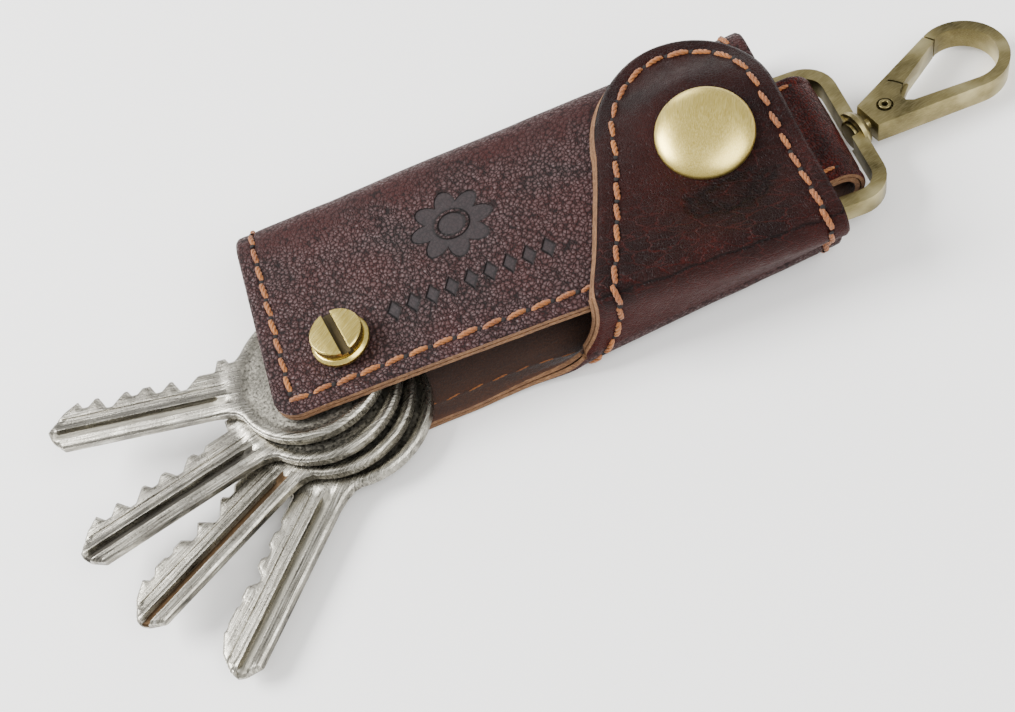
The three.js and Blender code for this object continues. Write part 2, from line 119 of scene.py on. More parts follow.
# Keys: resting direction and cut depths, top of the stack first.
KEY_THICK = 2.1
KEY_PITCH = 2.4
KEY_FLOOR = 2.5
KEY_HOLE = 2.55
BOW = (6.6, 1.2)
BOW_RADIUS = 12.9
BLADE_END = 51.4
BLADE_TOP = -1.9
BLADE_BACK = 6.4
KEYS = (
    ("key_1", 167.6, (2.1, 1.5, 1.0, 2.2, 1.3)),
    ("key_2", 193.0, (0.8, 1.9, 1.2, 2.1, 1.6)),
    ("key_3", 209.5, (0.9, 2.3, 1.6, 0.5, 1.0)),
    ("key_4", 229.4, (0.6, 0.9, 1.5, 0.4, 0.2)),
)

# Tab loop.
TAB_LOW = -4.2
TAB_HIGH = 18.0
TAB_END = 83.8
TAB_FROM = 60.0
TAB_MID_Z = 6.5
TAB_HALF = 4.0
TAB_GRAIN = 0.9
TAB_LINING = 0.8
TAB_GAP = 0.2


def linear(code):
    """Turn an sRGB hex colour into linear RGB."""
    parts = [int(code[i:i + 2], 16) / 255 for i in (1, 3, 5)]
    return tuple(c / 12.92 if c <= 0.04045 else ((c + 0.055) / 1.055) ** 2.4 for c in parts)


def colour(name, code, description):
    """A colour property with a hex default."""
    return FloatVectorProperty(
        name=name, description=description, subtype="COLOR", size=3, min=0, max=1,
        default=linear(code),
    )


def clamp(value):
    return min(1.0, max(0.0, value))


def lerp(a, b, t):
    return a + (b - a) * t


def smooth(low, high, value):
    """Smooth step from 0 at low to 1 at high."""
    t = clamp((value - low) / (high - low))
    return t * t * (3 - 2 * t)


def wander(x, y, z, scale, seed=0.0):
    """Slow, repeatable waviness between about -1 and 1; scale is its length in mm."""
    return noise.noise(Vector((x / scale + seed, y / scale - seed, z / scale + 2 * seed)))


# ---- Outlines and meshes -------------------------------------------------------


def arc(cx, cy, radius, start, end, steps):
    """Points of a circular arc, angles in degrees."""
    points = []
    for i in range(steps + 1):
        angle = math.radians(lerp(start, end, i / steps))
        points.append((cx + radius * math.cos(angle), cy + radius * math.sin(angle)))
    return points


def curved(points, steps=8):
    """Catmull-Rom curve through points."""
    ends = [points[0], *points, points[-1]]
    out = []
    for a, b, c, d in zip(ends, ends[1:], ends[2:], ends[3:]):
        for i in range(steps):
            t = i / steps
            out.append(tuple(
                0.5 * (2 * q + (r - p) * t + (2 * p - 5 * q + 4 * r - s) * t * t
                       + (3 * q - p - 3 * r + s) * t ** 3)
                for p, q, r, s in zip(a, b, c, d)
            ))
    return [*out, points[-1]]


def even(points, spacing, closed=True):
    """Points at an even spacing along a line."""
    line = [Vector(p) for p in points]
    if closed:
        line.append(line[0])
    lengths = [(b - a).length for a, b in zip(line, line[1:])]
    total = sum(lengths)
    count = max(2, round(total / spacing))
    step = total / count
    out = []
    i = 0
    gone = 0.0
    for k in range(count if closed else count + 1):
        target = k * step
        while i < len(lengths) - 1 and gone + lengths[i] < target:
            gone += lengths[i]
            i += 1
        t = (target - gone) / lengths[i] if lengths[i] > 0 else 0
        out.append(tuple(line[i].lerp(line[i + 1], clamp(t))))
    return out


class Edge:
    """A closed outline that knows how far any point is from it."""

    def __init__(self, points):
        area = sum(a[0] * b[1] - b[0] * a[1] for a, b in zip(points, points[1:] + points[:1]))
        self.points = points if area > 0 else points[::-1]
        self.tree = kdtree.KDTree(len(points))
        for i, p in enumerate(self.points):
            self.tree.insert((p[0], p[1], 0), i)
        self.tree.balance()

    def distance(self, x, y):
        point = Vector((x, y))
        i = self.tree.find((x, y, 0))[1]
        count = len(self.points)
        best = 1e9
        for k in (i - 1, i):
            a = Vector(self.points[k % count])
            b = Vector(self.points[(k + 1) % count])
            along = clamp((point - a).dot(b - a) / max(1e-12, (b - a).length_squared))
            best = min(best, (a.lerp(b, along) - point).length)
        return best

    def inset(self, depth):
        """Points moved inwards by depth, without those that cross at tight corners."""
        count = len(self.points)
        out = []
        for i, p in enumerate(self.points):
            a = Vector(self.points[i - 1])
            b = Vector(self.points[(i + 1) % count])
            along = (b - a).normalized()
            q = (p[0] - along.y * depth, p[1] + along.x * depth)
            if self.distance(*q) > depth * 0.97:
                out.append(q)
        return out


def tessellate(edge, insets, spacing, lines=(), loops=()):
    """Flat triangles inside an outline: rings near the edge, a lattice within."""
    points = list(edge.points)
    edges = [(i, (i + 1) % len(points)) for i in range(len(points))]
    for line in lines:
        start = len(points)
        points.extend(line)
        edges.extend((start + i, start + i + 1) for i in range(len(line) - 1))
    for loop in loops:
        start = len(points)
        points.extend(loop)
        edges.extend((start + i, start + (i + 1) % len(loop)) for i in range(len(loop)))
    fixed = kdtree.KDTree(len(points))
    for i, p in enumerate(points):
        fixed.insert((p[0], p[1], 0), i)
    fixed.balance()
    count = len(edge.points)
    extra = []
    for depth in insets:
        for p in edge.inset(depth):
            near = fixed.find((p[0], p[1], 0))
            if near[1] < count or near[2] > 0.2:
                extra.append(p)
    low = [min(p[k] for p in edge.points) for k in (0, 1)]
    high = [max(p[k] for p in edge.points) for k in (0, 1)]
    inner = max(insets) + spacing * 0.6
    rise = spacing * 0.866
    for j in range(int((high[1] - low[1]) / rise) + 1):
        y = low[1] + j * rise
        for i in range(int((high[0] - low[0]) / spacing) + 1):
            x = low[0] + (i + 0.5 * (j % 2)) * spacing
            if edge.tree.find((x, y, 0))[2] < inner:
                continue
            if fixed.find((x, y, 0))[2] > spacing * 0.55:
                extra.append((x, y))
    points.extend(extra)
    result = geometry.delaunay_2d_cdt([Vector(p) for p in points], edges, [], 1, 1e-5)
    flat = [(p.x, p.y) for p in result[0]]
    return flat, [tuple(f) for f in result[2]]


def build(name, points, faces, materials, slots=None, sharp=45):
    """A smooth-shaded mesh object from points in mm, normals outwards."""
    mesh = bpy.data.meshes.new(name)
    mesh.from_pydata([Vector(p) * MM for p in points], [], faces)
    for material in materials:
        mesh.materials.append(material)
    if slots:
        mesh.polygons.foreach_set("material_index", slots)
    work = bmesh.new()
    work.from_mesh(mesh)
    bmesh.ops.remove_doubles(work, verts=work.verts, dist=1e-7)
    bmesh.ops.recalc_face_normals(work, faces=work.faces)
    work.to_mesh(mesh)
    work.free()
    mesh.shade_smooth()
    mesh.set_sharp_from_angle(angle=math.radians(sharp))
    obj = bpy.data.objects.new(name, mesh)
    bpy.context.scene.collection.objects.link(obj)
    return obj


def slab(name, flat, faces, place, materials, choose=None, sharp=45):
    """A closed slab over flat triangles; place gives each point's outer and inner spot."""
    used = sorted({i for f in faces for i in f})
    number = {old: new for new, old in enumerate(used)}
    pairs = [place(*flat[i]) for i in used]
    count = len(used)
    points = [p[0] for p in pairs] + [p[1] for p in pairs]
    out = []
    slots = []
    open_edges = {}
    for face in faces:
        a, b, c = (number[i] for i in face)
        out.append((a, b, c))
        out.append((a + count, c + count, b + count))
        middle = [sum(flat[i][k] for i in face) / 3 for k in (0, 1)]
        top, bottom = choose(*middle) if choose else (0, 1)
        slots.extend((top, bottom))
        for p, q in ((a, b), (b, c), (c, a)):
            if (q, p) in open_edges:
                del open_edges[(q, p)]
            else:
                open_edges[(p, q)] = True
    wall = 2 if len(materials) > 2 else len(materials) - 1
    for p, q in open_edges:
        out.append((p, p + count, q + count, q))
        slots.append(wall)
    return build(name, points, out, materials, slots, sharp)


def lathe(name, profile, centre, material, steps=128, sharp=40):
    """Turned solid from [radius, height] points that start and end on the axis."""
    points = []
    faces = []
    rows = []
    for radius, z in profile:
        if radius < 1e-6:
            rows.append([len(points)] * steps)
            points.append((centre[0], centre[1], z))
            continue
        rows.append(list(range(len(points), len(points) + steps)))
        for x, y in arc(centre[0], centre[1], radius, 0, 360, steps)[:-1]:
            points.append((x, y, z))
    for low, high in zip(rows, rows[1:]):
        for i in range(steps):
            k = (i + 1) % steps
            corners = [low[i], low[k], high[k], high[i]]
            face = [v for n, v in enumerate(corners) if v not in corners[:n]]
            if len(face) > 2:
                faces.append(face)
    return build(name, points, faces, [material], sharp=sharp)


def finished(node, name, material, bevel, segments=3, angle=32):
    """A copy of a CAD node with clean faces and rounded edges, standing for it."""
    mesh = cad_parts[node].data.copy()
    mesh.name = name
    work = bmesh.new()
    work.from_mesh(mesh)
    bmesh.ops.remove_doubles(work, verts=work.verts, dist=2e-6)
    bmesh.ops.dissolve_limit(
        work, angle_limit=math.radians(1), verts=work.verts, edges=work.edges,
    )
    work.to_mesh(mesh)
    work.free()
    mesh.materials.clear()
    mesh.materials.append(material)
    for polygon in mesh.polygons:
        polygon.material_index = 0
    obj = bpy.data.objects.new(name, mesh)
    bpy.context.scene.collection.objects.link(obj)
    rounding = obj.modifiers.new("Rounded edges", "BEVEL")
    rounding.width = bevel * MM
    rounding.segments = segments
    rounding.limit_method = "ANGLE"
    rounding.angle_limit = math.radians(angle)
    rounding.miter_outer = "MITER_ARC"
    rounding.use_clamp_overlap = True
    plain(obj)
    obj.data.shade_smooth()
    obj.data.set_sharp_from_angle(angle=math.radians(38))
    return obj


def plain(obj):
    """Apply an object's modifiers by swapping in its evaluated mesh."""
    shown = obj.evaluated_get(bpy.context.evaluated_depsgraph_get())
    mesh = bpy.data.meshes.new_from_object(shown)
    obj.modifiers.clear()
    old = obj.data
    obj.data = mesh
    if isinstance(old, bpy.types.Mesh) and not old.users:
        bpy.data.meshes.remove(old)


# ---- Node trees -------------------------------------------------------------------


def fill(tree, socket, value):
    """Give a socket a value, or link it to an output or to a node's first output."""
    if isinstance(value, bpy.types.Node):
        value = value.outputs[0]
    if isinstance(value, bpy.types.NodeSocket):
        tree.links.new(value, socket)
    elif socket.type == "RGBA" and len(value) == 3:
        socket.default_value = (*value, 1)
    else:
        socket.default_value = value


def node(tree, kind, inputs=(), stops=(), **settings):
    """Add one node with its settings, its inputs by name or in order, and any ramp stops."""
    made = tree.nodes.new(kind)
    for key, value in settings.items():
        setattr(made, key, value)
    named = inputs if isinstance(inputs, dict) else dict(enumerate(inputs))
    for key, value in named.items():
        fill(tree, made.inputs[key], value)
    elements = made.color_ramp.elements if stops else ()
    for _ in stops[2:]:
        elements.new(0.5)
    for element, (position, rgb) in zip(elements, stops):
        element.position = position
        element.color = (*rgb, 1)
    return made


def per(size):
    """Pattern scale that makes features about size mm across."""
    return 1 / (size * MM)


def place_pattern(tree, stretch=(1, 1, 1), turn=0.0):
    """Object coordinates, turned about Z and stretched."""
    where = node(tree, "ShaderNodeTexCoord").outputs["Object"]
    turned = node(tree, "ShaderNodeMapping", {0: where, 2: (0, 0, -turn)}).outputs[0]
    return node(tree, "ShaderNodeMapping", {0: turned, 3: stretch}).outputs[0]


def surface(name, **direct):
    """A new material and its shader with the given fixed sockets."""
    material = bpy.data.materials.new(name)
    material.use_nodes = True
    tree = material.node_tree
    tree.nodes.clear()
    shader = node(tree, "ShaderNodeBsdfPrincipled")
    for key, value in direct.items():
        shader.inputs[key.replace("_", " ")].default_value = value
    node(tree, "ShaderNodeOutputMaterial", {"Surface": shader.outputs[0]})
    return material, tree, shader


def feed(tree, shader, **links):
    """Link nodes or outputs to the shader's named sockets."""
    for key, value in links.items():
        fill(tree, shader.inputs[key.replace("_", " ")], value)


def loosened(tree, where, size, amount):
    """Coordinates pushed about by noise, so that a pattern loses its regularity."""
    push = node(
        tree, "ShaderNodeTexNoise", {"Vector": where, "Scale": per(size), "Detail": 2.0},
    ).outputs["Color"]
    centred = node(tree, "ShaderNodeVectorMath", {0: push, 1: (0.5, 0.5, 0.5)}, operation="SUBTRACT")
    scaled = node(tree, "ShaderNodeVectorMath", {0: centred.outputs[0]}, operation="SCALE")
    scaled.inputs["Scale"].default_value = amount * MM
    return node(tree, "ShaderNodeVectorMath", (where, scaled), operation="ADD").outputs[0]


# ---- Materials ----------------------------------------------------------------------


def pebbled_cowhide(settings):
    """Oiled cowhide with a raised pebble grain: burgundy, with a painted grey sheen on each pebble and
    painted shade in the valleys between.
    """
    material, tree, shader = surface("pebbled_oiled_cowhide_tooled", Specular_IOR_Level=0.22)
    where = place_pattern(tree)
    loose = loosened(tree, loosened(tree, where, 2.2, 0.9), 0.45, 0.34)
    # Pebbles are rounded, about 0.65 mm, with finer ones between.
    pebbles = {"Vector": loose, "Scale": per(0.65)}
    from_middle = node(tree, "ShaderNodeTexVoronoi", pebbles, feature="F1")
    from_edge = node(tree, "ShaderNodeTexVoronoi", pebbles, feature="DISTANCE_TO_EDGE")
    dome = node(tree, "ShaderNodeMapRange", (from_middle, 0.1, 0.95, 1.0, 0.0))
    valley = node(tree, "ShaderNodeMapRange", (from_edge, 0.0, 0.12, 0.0, 1.0))
    softened = node(tree, "ShaderNodeMath", (valley, 0.6), operation="POWER")
    top = node(tree, "ShaderNodeMath", (dome, softened), operation="MULTIPLY")
    grains = {"Vector": loosened(tree, where, 0.5, 0.25), "Scale": per(0.36)}
    from_grain = node(tree, "ShaderNodeTexVoronoi", grains, feature="F1")
    fine = node(tree, "ShaderNodeMapRange", (from_grain, 0.1, 0.7, 1.0, 0.0))
    blotch = node(tree, "ShaderNodeTexNoise", {"Vector": where, "Scale": per(9.0), **SOFT_NOISE})
    place = node(tree, "ShaderNodeSeparateXYZ", {0: where}).outputs
    # Towards the top fold the hide is stretched: smoother, redder and brighter.
    ragged = node(tree, "ShaderNodeMath", (blotch, 0.01, place[1]), operation="MULTIPLY_ADD")
    stretched = node(tree, "ShaderNodeMapRange", (ragged, 0.0255, 0.031, 0.0, 1.0))
    # It is pulled smooth round the lower bend too.
    forward = node(tree, "ShaderNodeMapRange", (place[1], -0.004, -0.0105, 0.0, 1.0))
    low = node(tree, "ShaderNodeMapRange", (place[2], 0.0054, 0.0066, 1.0, 0.0))
    bend = node(tree, "ShaderNodeMath", (forward, low), operation="MULTIPLY")
    stretched = node(tree, "ShaderNodeMath", (stretched, bend), operation="MAXIMUM")
    share = node(tree, "ShaderNodeMapRange", (blotch, 0.3, 0.6, 0.0, 1.0))
    tone = node(
        tree, "ShaderNodeMix", {0: share, 6: settings.hide_dark, 7: settings.hide_red}, data_type="RGBA",
    ).outputs[2]
    # Painted sheen: a grey highlight painted on the raised pebble tops, weaker where the hide is
    # stretched.
    painted_sheen = node(
        tree, "ShaderNodeMath",
        (
            node(tree, "ShaderNodeMapRange", (top, 0.35, 0.95, 0.0, 0.55)),
            node(tree, "ShaderNodeMapRange", (stretched, 0, 1, 1.0, 0.15)),
        ),
        operation="MULTIPLY",
    )
    raised = node(
        tree, "ShaderNodeMix", {0: painted_sheen, 6: tone, 7: settings.hide_bloom}, data_type="RGBA",
    ).outputs[2]
    share = node(tree, "ShaderNodeMath", (stretched, 0.7), operation="MULTIPLY")
    redder = node(
        tree, "ShaderNodeMix", {0: share, 6: raised, 7: settings.hide_stretched}, data_type="RGBA",
    ).outputs[2]
    # Painted shade darkens the valleys between the pebbles.
    share = node(tree, "ShaderNodeMapRange", (top, 0.05, 0.35, 0.8, 0.0))
    creased = node(
        tree, "ShaderNodeMix", {0: share, 6: redder, 7: settings.hide_crease}, data_type="RGBA",
    ).outputs[2]
    height = node(
        tree, "ShaderNodeMath",
        (
            node(
                tree, "ShaderNodeMath",
                (top, node(tree, "ShaderNodeMapRange", (stretched, 0, 1, 1.0, 0.3))),
                operation="MULTIPLY",
            ),
            node(tree, "ShaderNodeMath", (fine, 0.22), operation="MULTIPLY"),
        ),
        operation="ADD",
    )
    rough = node(tree, "ShaderNodeMapRange", (top, 0.0, 1.0, 0.8, 0.34))
    # The rosette and lozenges are pressed flat, so the grain nearly vanishes in them.
    pressed, rim = tooled_mark(tree, where, place[2])
    flatter = node(
        tree, "ShaderNodeMath",
        (height, node(tree, "ShaderNodeMapRange", (pressed, 0, 1, 1.0, 0.12))),
        operation="MULTIPLY",
    )
    height = node(
        tree, "ShaderNodeMath",
        (flatter, node(tree, "ShaderNodeMath", (pressed, 3.4), operation="MULTIPLY")),
        operation="SUBTRACT",
    )
    share = node(tree, "ShaderNodeMath", (pressed, 0.85), operation="MULTIPLY")
    face = node(
        tree, "ShaderNodeMix", {0: share, 6: creased, 7: settings.mark}, data_type="RGBA",
    ).outputs[2]
    # Painted shade darkens the rim round the pressed mark.
    share = node(tree, "ShaderNodeMath", (rim, 0.7), operation="MULTIPLY")
    face = node(
        tree, "ShaderNodeMix", {0: share, 6: face, 7: settings.hide_crease}, data_type="RGBA",
    ).outputs[2]
    bump = node(tree, "ShaderNodeBump", {"Height": height, "Distance": 0.2 * MM})
    bump = node(
        tree, "ShaderNodeBump",
        {
            "Height": node(
                tree, "ShaderNodeTexNoise", {"Vector": where, "Scale": per(3.0), **SOFT_NOISE},
            ),
            "Distance": 0.15 * MM, "Normal": bump,
        },
    )
    feed(tree, shader, Base_Color=face, Roughness=rough, Normal=bump)
    return material


def tooled_mark(tree, where, height):
    """A pressed rosette over a row of lozenges, as masks for the face and for the painted shade round
    its rim.
    """
    # From here on the pattern is flat and in millimetres, about the rosette's centre.
    centre = (-MARK_CENTRE[0], -MARK_CENTRE[1], 0)
    flat = node(tree, "ShaderNodeMapping", {0: where, 1: centre, 3: (1 / MM, 1 / MM, 0)})
    x, y, _ = node(tree, "ShaderNodeSeparateXYZ", (flat,)).outputs
    away = node(tree, "ShaderNodeVectorMath", (flat,), operation="LENGTH").outputs["Value"]
    # Eight petals between 4.5 and 6.9 mm out, round an open ring.
    turn = node(tree, "ShaderNodeMath", (y, x), operation="ARCTAN2")
    waves = node(tree, "ShaderNodeMath", (turn, 4), operation="MULTIPLY")
    wave = node(tree, "ShaderNodeMath", (waves,), operation="COSINE")
    petals = node(tree, "ShaderNodeMath", (wave,), operation="ABSOLUTE")
    reach = node(tree, "ShaderNodeMath", (petals, 2.4, 4.5), operation="MULTIPLY_ADD")
    outer = node(tree, "ShaderNodeMath", (reach, away), operation="SUBTRACT")
    from_ring = node(tree, "ShaderNodeMath", (away, 2.6), operation="SUBTRACT")
    beside_ring = node(tree, "ShaderNodeMath", (from_ring,), operation="ABSOLUTE")
    ring = node(tree, "ShaderNodeMath", (beside_ring, 0.35), operation="SUBTRACT")
    rosette = node(tree, "ShaderNodeMath", (outer, ring), operation="MINIMUM")
    # Nine lozenges in a row 11.6 mm lower, 3.2 mm apart.
    below = node(tree, "ShaderNodeMath", (y, 11.6), operation="ADD")
    low = node(tree, "ShaderNodeMath", (below,), operation="ABSOLUTE")
    step = node(tree, "ShaderNodeMath", (x, 1.6), operation="PINGPONG")
    wide = node(tree, "ShaderNodeMath", (step, 1.15), operation="DIVIDE")
    high = node(tree, "ShaderNodeMath", (low, 1.9), operation="DIVIDE")
    edge = node(tree, "ShaderNodeMath", (wide, high), operation="ADD")
    lozenge = node(tree, "ShaderNodeMath", (1.0, edge), operation="SUBTRACT")
    across = node(tree, "ShaderNodeMath", (x,), operation="ABSOLUTE")
    inside = node(tree, "ShaderNodeMath", (14.4, across), operation="SUBTRACT")
    row = node(tree, "ShaderNodeMath", (lozenge, inside), operation="MINIMUM")
    mark = node(tree, "ShaderNodeMath", (rosette, row), operation="MAXIMUM")
    # Only the front face is tooled, not the folded edge or the back.
    front = node(tree, "ShaderNodeMapRange", (height, 0.0125, 0.0128, 0.0, 1.0))
    sunk = node(tree, "ShaderNodeMapRange", (mark, -0.12, 0.16, 0.0, 1.0))
    pressed = node(tree, "ShaderNodeMath", (sunk, front), operation="MULTIPLY")
    off_edge = node(tree, "ShaderNodeMath", (mark,), operation="ABSOLUTE")
    near = node(tree, "ShaderNodeMapRange", (off_edge, 0.0, 0.42, 1.0, 0.0))
    return pressed, node(tree, "ShaderNodeMath", (near, front), operation="MULTIPLY")


def waxed_cowhide(settings):
    """Smooth waxed cowhide of the flap: near-black brown, fine grain, red pull-up wrinkles, and painted
    shade in the grain and along the long wrinkle.
    """
    material, tree, shader = surface("waxed_cowhide_flap", Specular_IOR_Level=0.1)
    where = place_pattern(tree)
    loose = loosened(tree, where, 1.0, 0.4)
    grains = {"Vector": loose, "Scale": per(0.5)}
    from_edge = node(tree, "ShaderNodeTexVoronoi", grains, feature="DISTANCE_TO_EDGE")
    fine = node(tree, "ShaderNodeMapRange", (from_edge, 0.0, 0.16, 0.0, 1.0))
    long = place_pattern(tree, (1.0, 2.3, 1.6), math.radians(-18))
    folds = node(
        tree, "ShaderNodeTexVoronoi", {"Vector": loosened(tree, long, 3.0, 3.2), "Scale": per(4.6)},
        feature="DISTANCE_TO_EDGE",
    )
    creases = node(tree, "ShaderNodeMapRange", (folds, 0.0, 0.055, 1.0, 0.0))
    worn = node(tree, "ShaderNodeTexNoise", {"Vector": where, "Scale": per(12.0), **SOFT_NOISE})
    place = node(tree, "ShaderNodeSeparateXYZ", {0: where}).outputs
    # Wrinkles gather in the lower half, towards the bend.
    ragged = node(tree, "ShaderNodeMath", (worn, 0.02, place[1]), operation="MULTIPLY_ADD")
    low = node(tree, "ShaderNodeMapRange", (ragged, 0.006, 0.018, 1.0, 0.12))
    wrinkle = node(tree, "ShaderNodeMath", (creases, low), operation="MULTIPLY")
    # Below the bend the hide is pulled tight and shows its red.
    bent = node(tree, "ShaderNodeMapRange", (place[2], 0.012, 0.0158, 1.0, 0.0))
    # One long wrinkle runs along the top of the bend, 0.8 mm under the flap's face.
    slope = node(tree, "ShaderNodeMath", (place[0], 0.017, place[2]), operation="MULTIPLY_ADD")
    ripple = node(tree, "ShaderNodeTexNoise", {"Vector": where, "Scale": per(2.5), **SOFT_NOISE})
    wavy = node(tree, "ShaderNodeMath", (ripple, 0.0009, slope), operation="MULTIPLY_ADD")
    over = node(tree, "ShaderNodeMath", (wavy, 0.01745), operation="SUBTRACT")
    beside = node(tree, "ShaderNodeMath", (over,), operation="ABSOLUTE")
    line = node(tree, "ShaderNodeMapRange", (beside, 0.0, 0.00022, 1.0, 0.0))
    share = node(tree, "ShaderNodeMapRange", (worn, 0.35, 0.7, 0.0, 1.0))
    tone = node(
        tree, "ShaderNodeMix",
        {0: share, 6: settings.flap_dark, 7: settings.flap_brown}, data_type="RGBA",
    ).outputs[2]
    share = node(tree, "ShaderNodeMath", (bent, 0.55), operation="MULTIPLY")
    tone = node(
        tree, "ShaderNodeMix", {0: share, 6: tone, 7: settings.flap_red}, data_type="RGBA",
    ).outputs[2]
    share = node(tree, "ShaderNodeMath", (wrinkle, 0.5), operation="MULTIPLY")
    tone = node(
        tree, "ShaderNodeMix", {0: share, 6: tone, 7: settings.flap_red}, data_type="RGBA",
    ).outputs[2]
    # Painted shade darkens the long wrinkle line.
    share = node(tree, "ShaderNodeMath", (line, 0.8), operation="MULTIPLY")
    tone = node(
        tree, "ShaderNodeMix", {0: share, 6: tone, 7: settings.hide_crease}, data_type="RGBA",
    ).outputs[2]
    # Painted shade darkens the valleys of the fine grain.
    share = node(tree, "ShaderNodeMapRange", (fine, 0.0, 0.5, 0.5, 0.0))
    tone = node(
        tree, "ShaderNodeMix", {0: share, 6: tone, 7: settings.hide_crease}, data_type="RGBA",
    ).outputs[2]
    sunk = node(
        tree, "ShaderNodeMath",
        (
            node(tree, "ShaderNodeMath", (wrinkle, 0.9), operation="MULTIPLY"),
            node(tree, "ShaderNodeMath", (line, 2.5), operation="MULTIPLY"),
        ),
        operation="ADD",
    )
    height = node(
        tree, "ShaderNodeMath",
        (node(tree, "ShaderNodeMath", (fine, 0.8), operation="MULTIPLY"), sunk),
        operation="SUBTRACT",
    )
    bump = node(tree, "ShaderNodeBump", {"Height": height, "Distance": 0.09 * MM})
    bump = node(
        tree, "ShaderNodeBump",
        {
            "Height": node(
                tree, "ShaderNodeTexNoise", {"Vector": where, "Scale": per(4.0), **SOFT_NOISE},
            ),
            "Distance": 0.18 * MM, "Normal": bump,
        },
    )
    rough = node(
        tree, "ShaderNodeMapRange",
        (
            node(tree, "ShaderNodeTexNoise", {"Vector": where, "Scale": per(2.0), **SOFT_NOISE}),
            0.3, 0.7, 0.38, 0.52,
        ),
    )
    feed(tree, shader, Base_Color=tone, Roughness=rough, Normal=bump)
    return material


def lizard_embossed_hide(settings):
    """Red-brown calf with an embossed scale pattern, with near-black painted shade in the gaps between
    scales.
    """
    material, tree, shader = surface("scale_embossed_calf", Specular_IOR_Level=0.14)
    where = place_pattern(tree, (1.5, 0.95, 1.2))
    scales = node(
        tree, "ShaderNodeTexVoronoi",
        {"Vector": loosened(tree, where, 1.5, 0.25), "Scale": per(0.7)}, feature="DISTANCE_TO_EDGE",
    )
    top = node(tree, "ShaderNodeMapRange", (scales, 0.0, 0.2, 0.0, 1.0))
    worn = node(tree, "ShaderNodeTexNoise", {"Vector": where, "Scale": per(7.0), **SOFT_NOISE})
    share = node(tree, "ShaderNodeMapRange", (worn, 0.35, 0.65, 0.0, 1.0))
    tone = node(
        tree, "ShaderNodeMix", {0: share, 6: settings.tab_dark, 7: settings.tab_red}, data_type="RGBA",
    ).outputs[2]
    # Painted shade darkens the gaps between the scales.
    share = node(tree, "ShaderNodeMapRange", (top, 0.0, 0.8, 0.85, 0.0))
    tone = node(
        tree, "ShaderNodeMix", {0: share, 6: tone, 7: settings.hide_crease}, data_type="RGBA",
    ).outputs[2]
    bump = node(tree, "ShaderNodeBump", {"Height": top, "Distance": 0.12 * MM})
    feed(
        tree, shader, Base_Color=tone,
        Roughness=node(tree, "ShaderNodeMapRange", (top, 0, 1, 0.6, 0.36)), Normal=bump,
    )
    return material


def raw_edge(settings):
    """Cut leather edge: tan packed fibres running along the cut."""
    material, tree, shader = surface("cut_leather_edge", Roughness=0.85)
    where = place_pattern(tree)
    along = place_pattern(tree, (1.0, 1.0, 6.0))
    fibre = node(
        tree, "ShaderNodeTexNoise",
        {"Vector": along, "Scale": per(0.7), "Detail": 5.0, "Roughness": 0.7},
    )
    blotch = node(tree, "ShaderNodeTexNoise", {"Vector": where, "Scale": per(2.2), **SOFT_NOISE})
    tone = node(
        tree, "ShaderNodeValToRGB", (fibre,),
        stops=((0.28, settings.edge_dark), (0.5, settings.edge), (0.75, settings.edge_light)),
    )
    share = node(tree, "ShaderNodeMapRange", (blotch, 0.4, 0.7, 0.0, 0.4))
    tone = node(
        tree, "ShaderNodeMix", {0: share, 6: tone, 7: settings.edge_dark}, data_type="RGBA",
    ).outputs[2]
    feed(
        tree, shader, Base_Color=tone,
        Normal=node(tree, "ShaderNodeBump", {"Height": fibre, "Distance": 0.22 * MM}),
    )
    return material


def split_suede(settings):
    """Suede lining: brown split leather with a soft, blotchy nap."""
    material, tree, shader = surface("split_suede_lining", Roughness=0.95, Sheen_Weight=0.25,
                                     Sheen_Roughness=0.5)
    where = place_pattern(tree)
    nap = node(
        tree, "ShaderNodeTexNoise",
        {"Vector": where, "Scale": per(0.35), "Detail": 5.0, "Roughness": 0.7},
    )
    brushed = node(
        tree, "ShaderNodeTexNoise",
        {"Vector": place_pattern(tree, (0.4, 1.2, 1.0)), "Scale": per(3.5), **SOFT_NOISE},
    )
    tone = node(
        tree, "ShaderNodeValToRGB", (nap,),
        stops=((0.3, settings.suede_dark), (0.62, settings.suede)),
    )
    share = node(tree, "ShaderNodeMapRange", (brushed, 0.35, 0.7, 0.0, 0.6))
    tone = node(
        tree, "ShaderNodeMix", {0: share, 6: tone, 7: settings.suede_dark}, data_type="RGBA",
    ).outputs[2]
    feed(
        tree, shader, Base_Color=tone,
        Normal=node(tree, "ShaderNodeBump", {"Height": nap, "Distance": 0.16 * MM}),
    )
    return material


def waxed_thread(settings):
    """Waxed polyester thread: orange-tan strands with darker troughs."""
    material, tree, shader = surface("waxed_sewing_thread", Roughness=0.6, Sheen_Weight=0.15)
    where = place_pattern(tree)
    fibre = node(
        tree, "ShaderNodeTexNoise",
        {"Vector": where, "Scale": per(0.22), "Detail": 3.0, "Roughness": 0.6},
    )
    length = node(tree, "ShaderNodeTexNoise", {"Vector": where, "Scale": per(5.0), **SOFT_NOISE})
    tone = node(
        tree, "ShaderNodeValToRGB", (fibre,),
        stops=((0.3, settings.thread_dark), (0.6, settings.thread)),
    )
    share = node(tree, "ShaderNodeMapRange", (length, 0.4, 0.65, 0.0, 0.45))
    tone = node(
        tree, "ShaderNodeMix", {0: share, 6: tone, 7: settings.thread_light}, data_type="RGBA",
    ).outputs[2]
    feed(
        tree, shader, Base_Color=tone,
        Normal=node(tree, "ShaderNodeBump", {"Height": fibre, "Distance": 0.05 * MM}),
    )
    return material


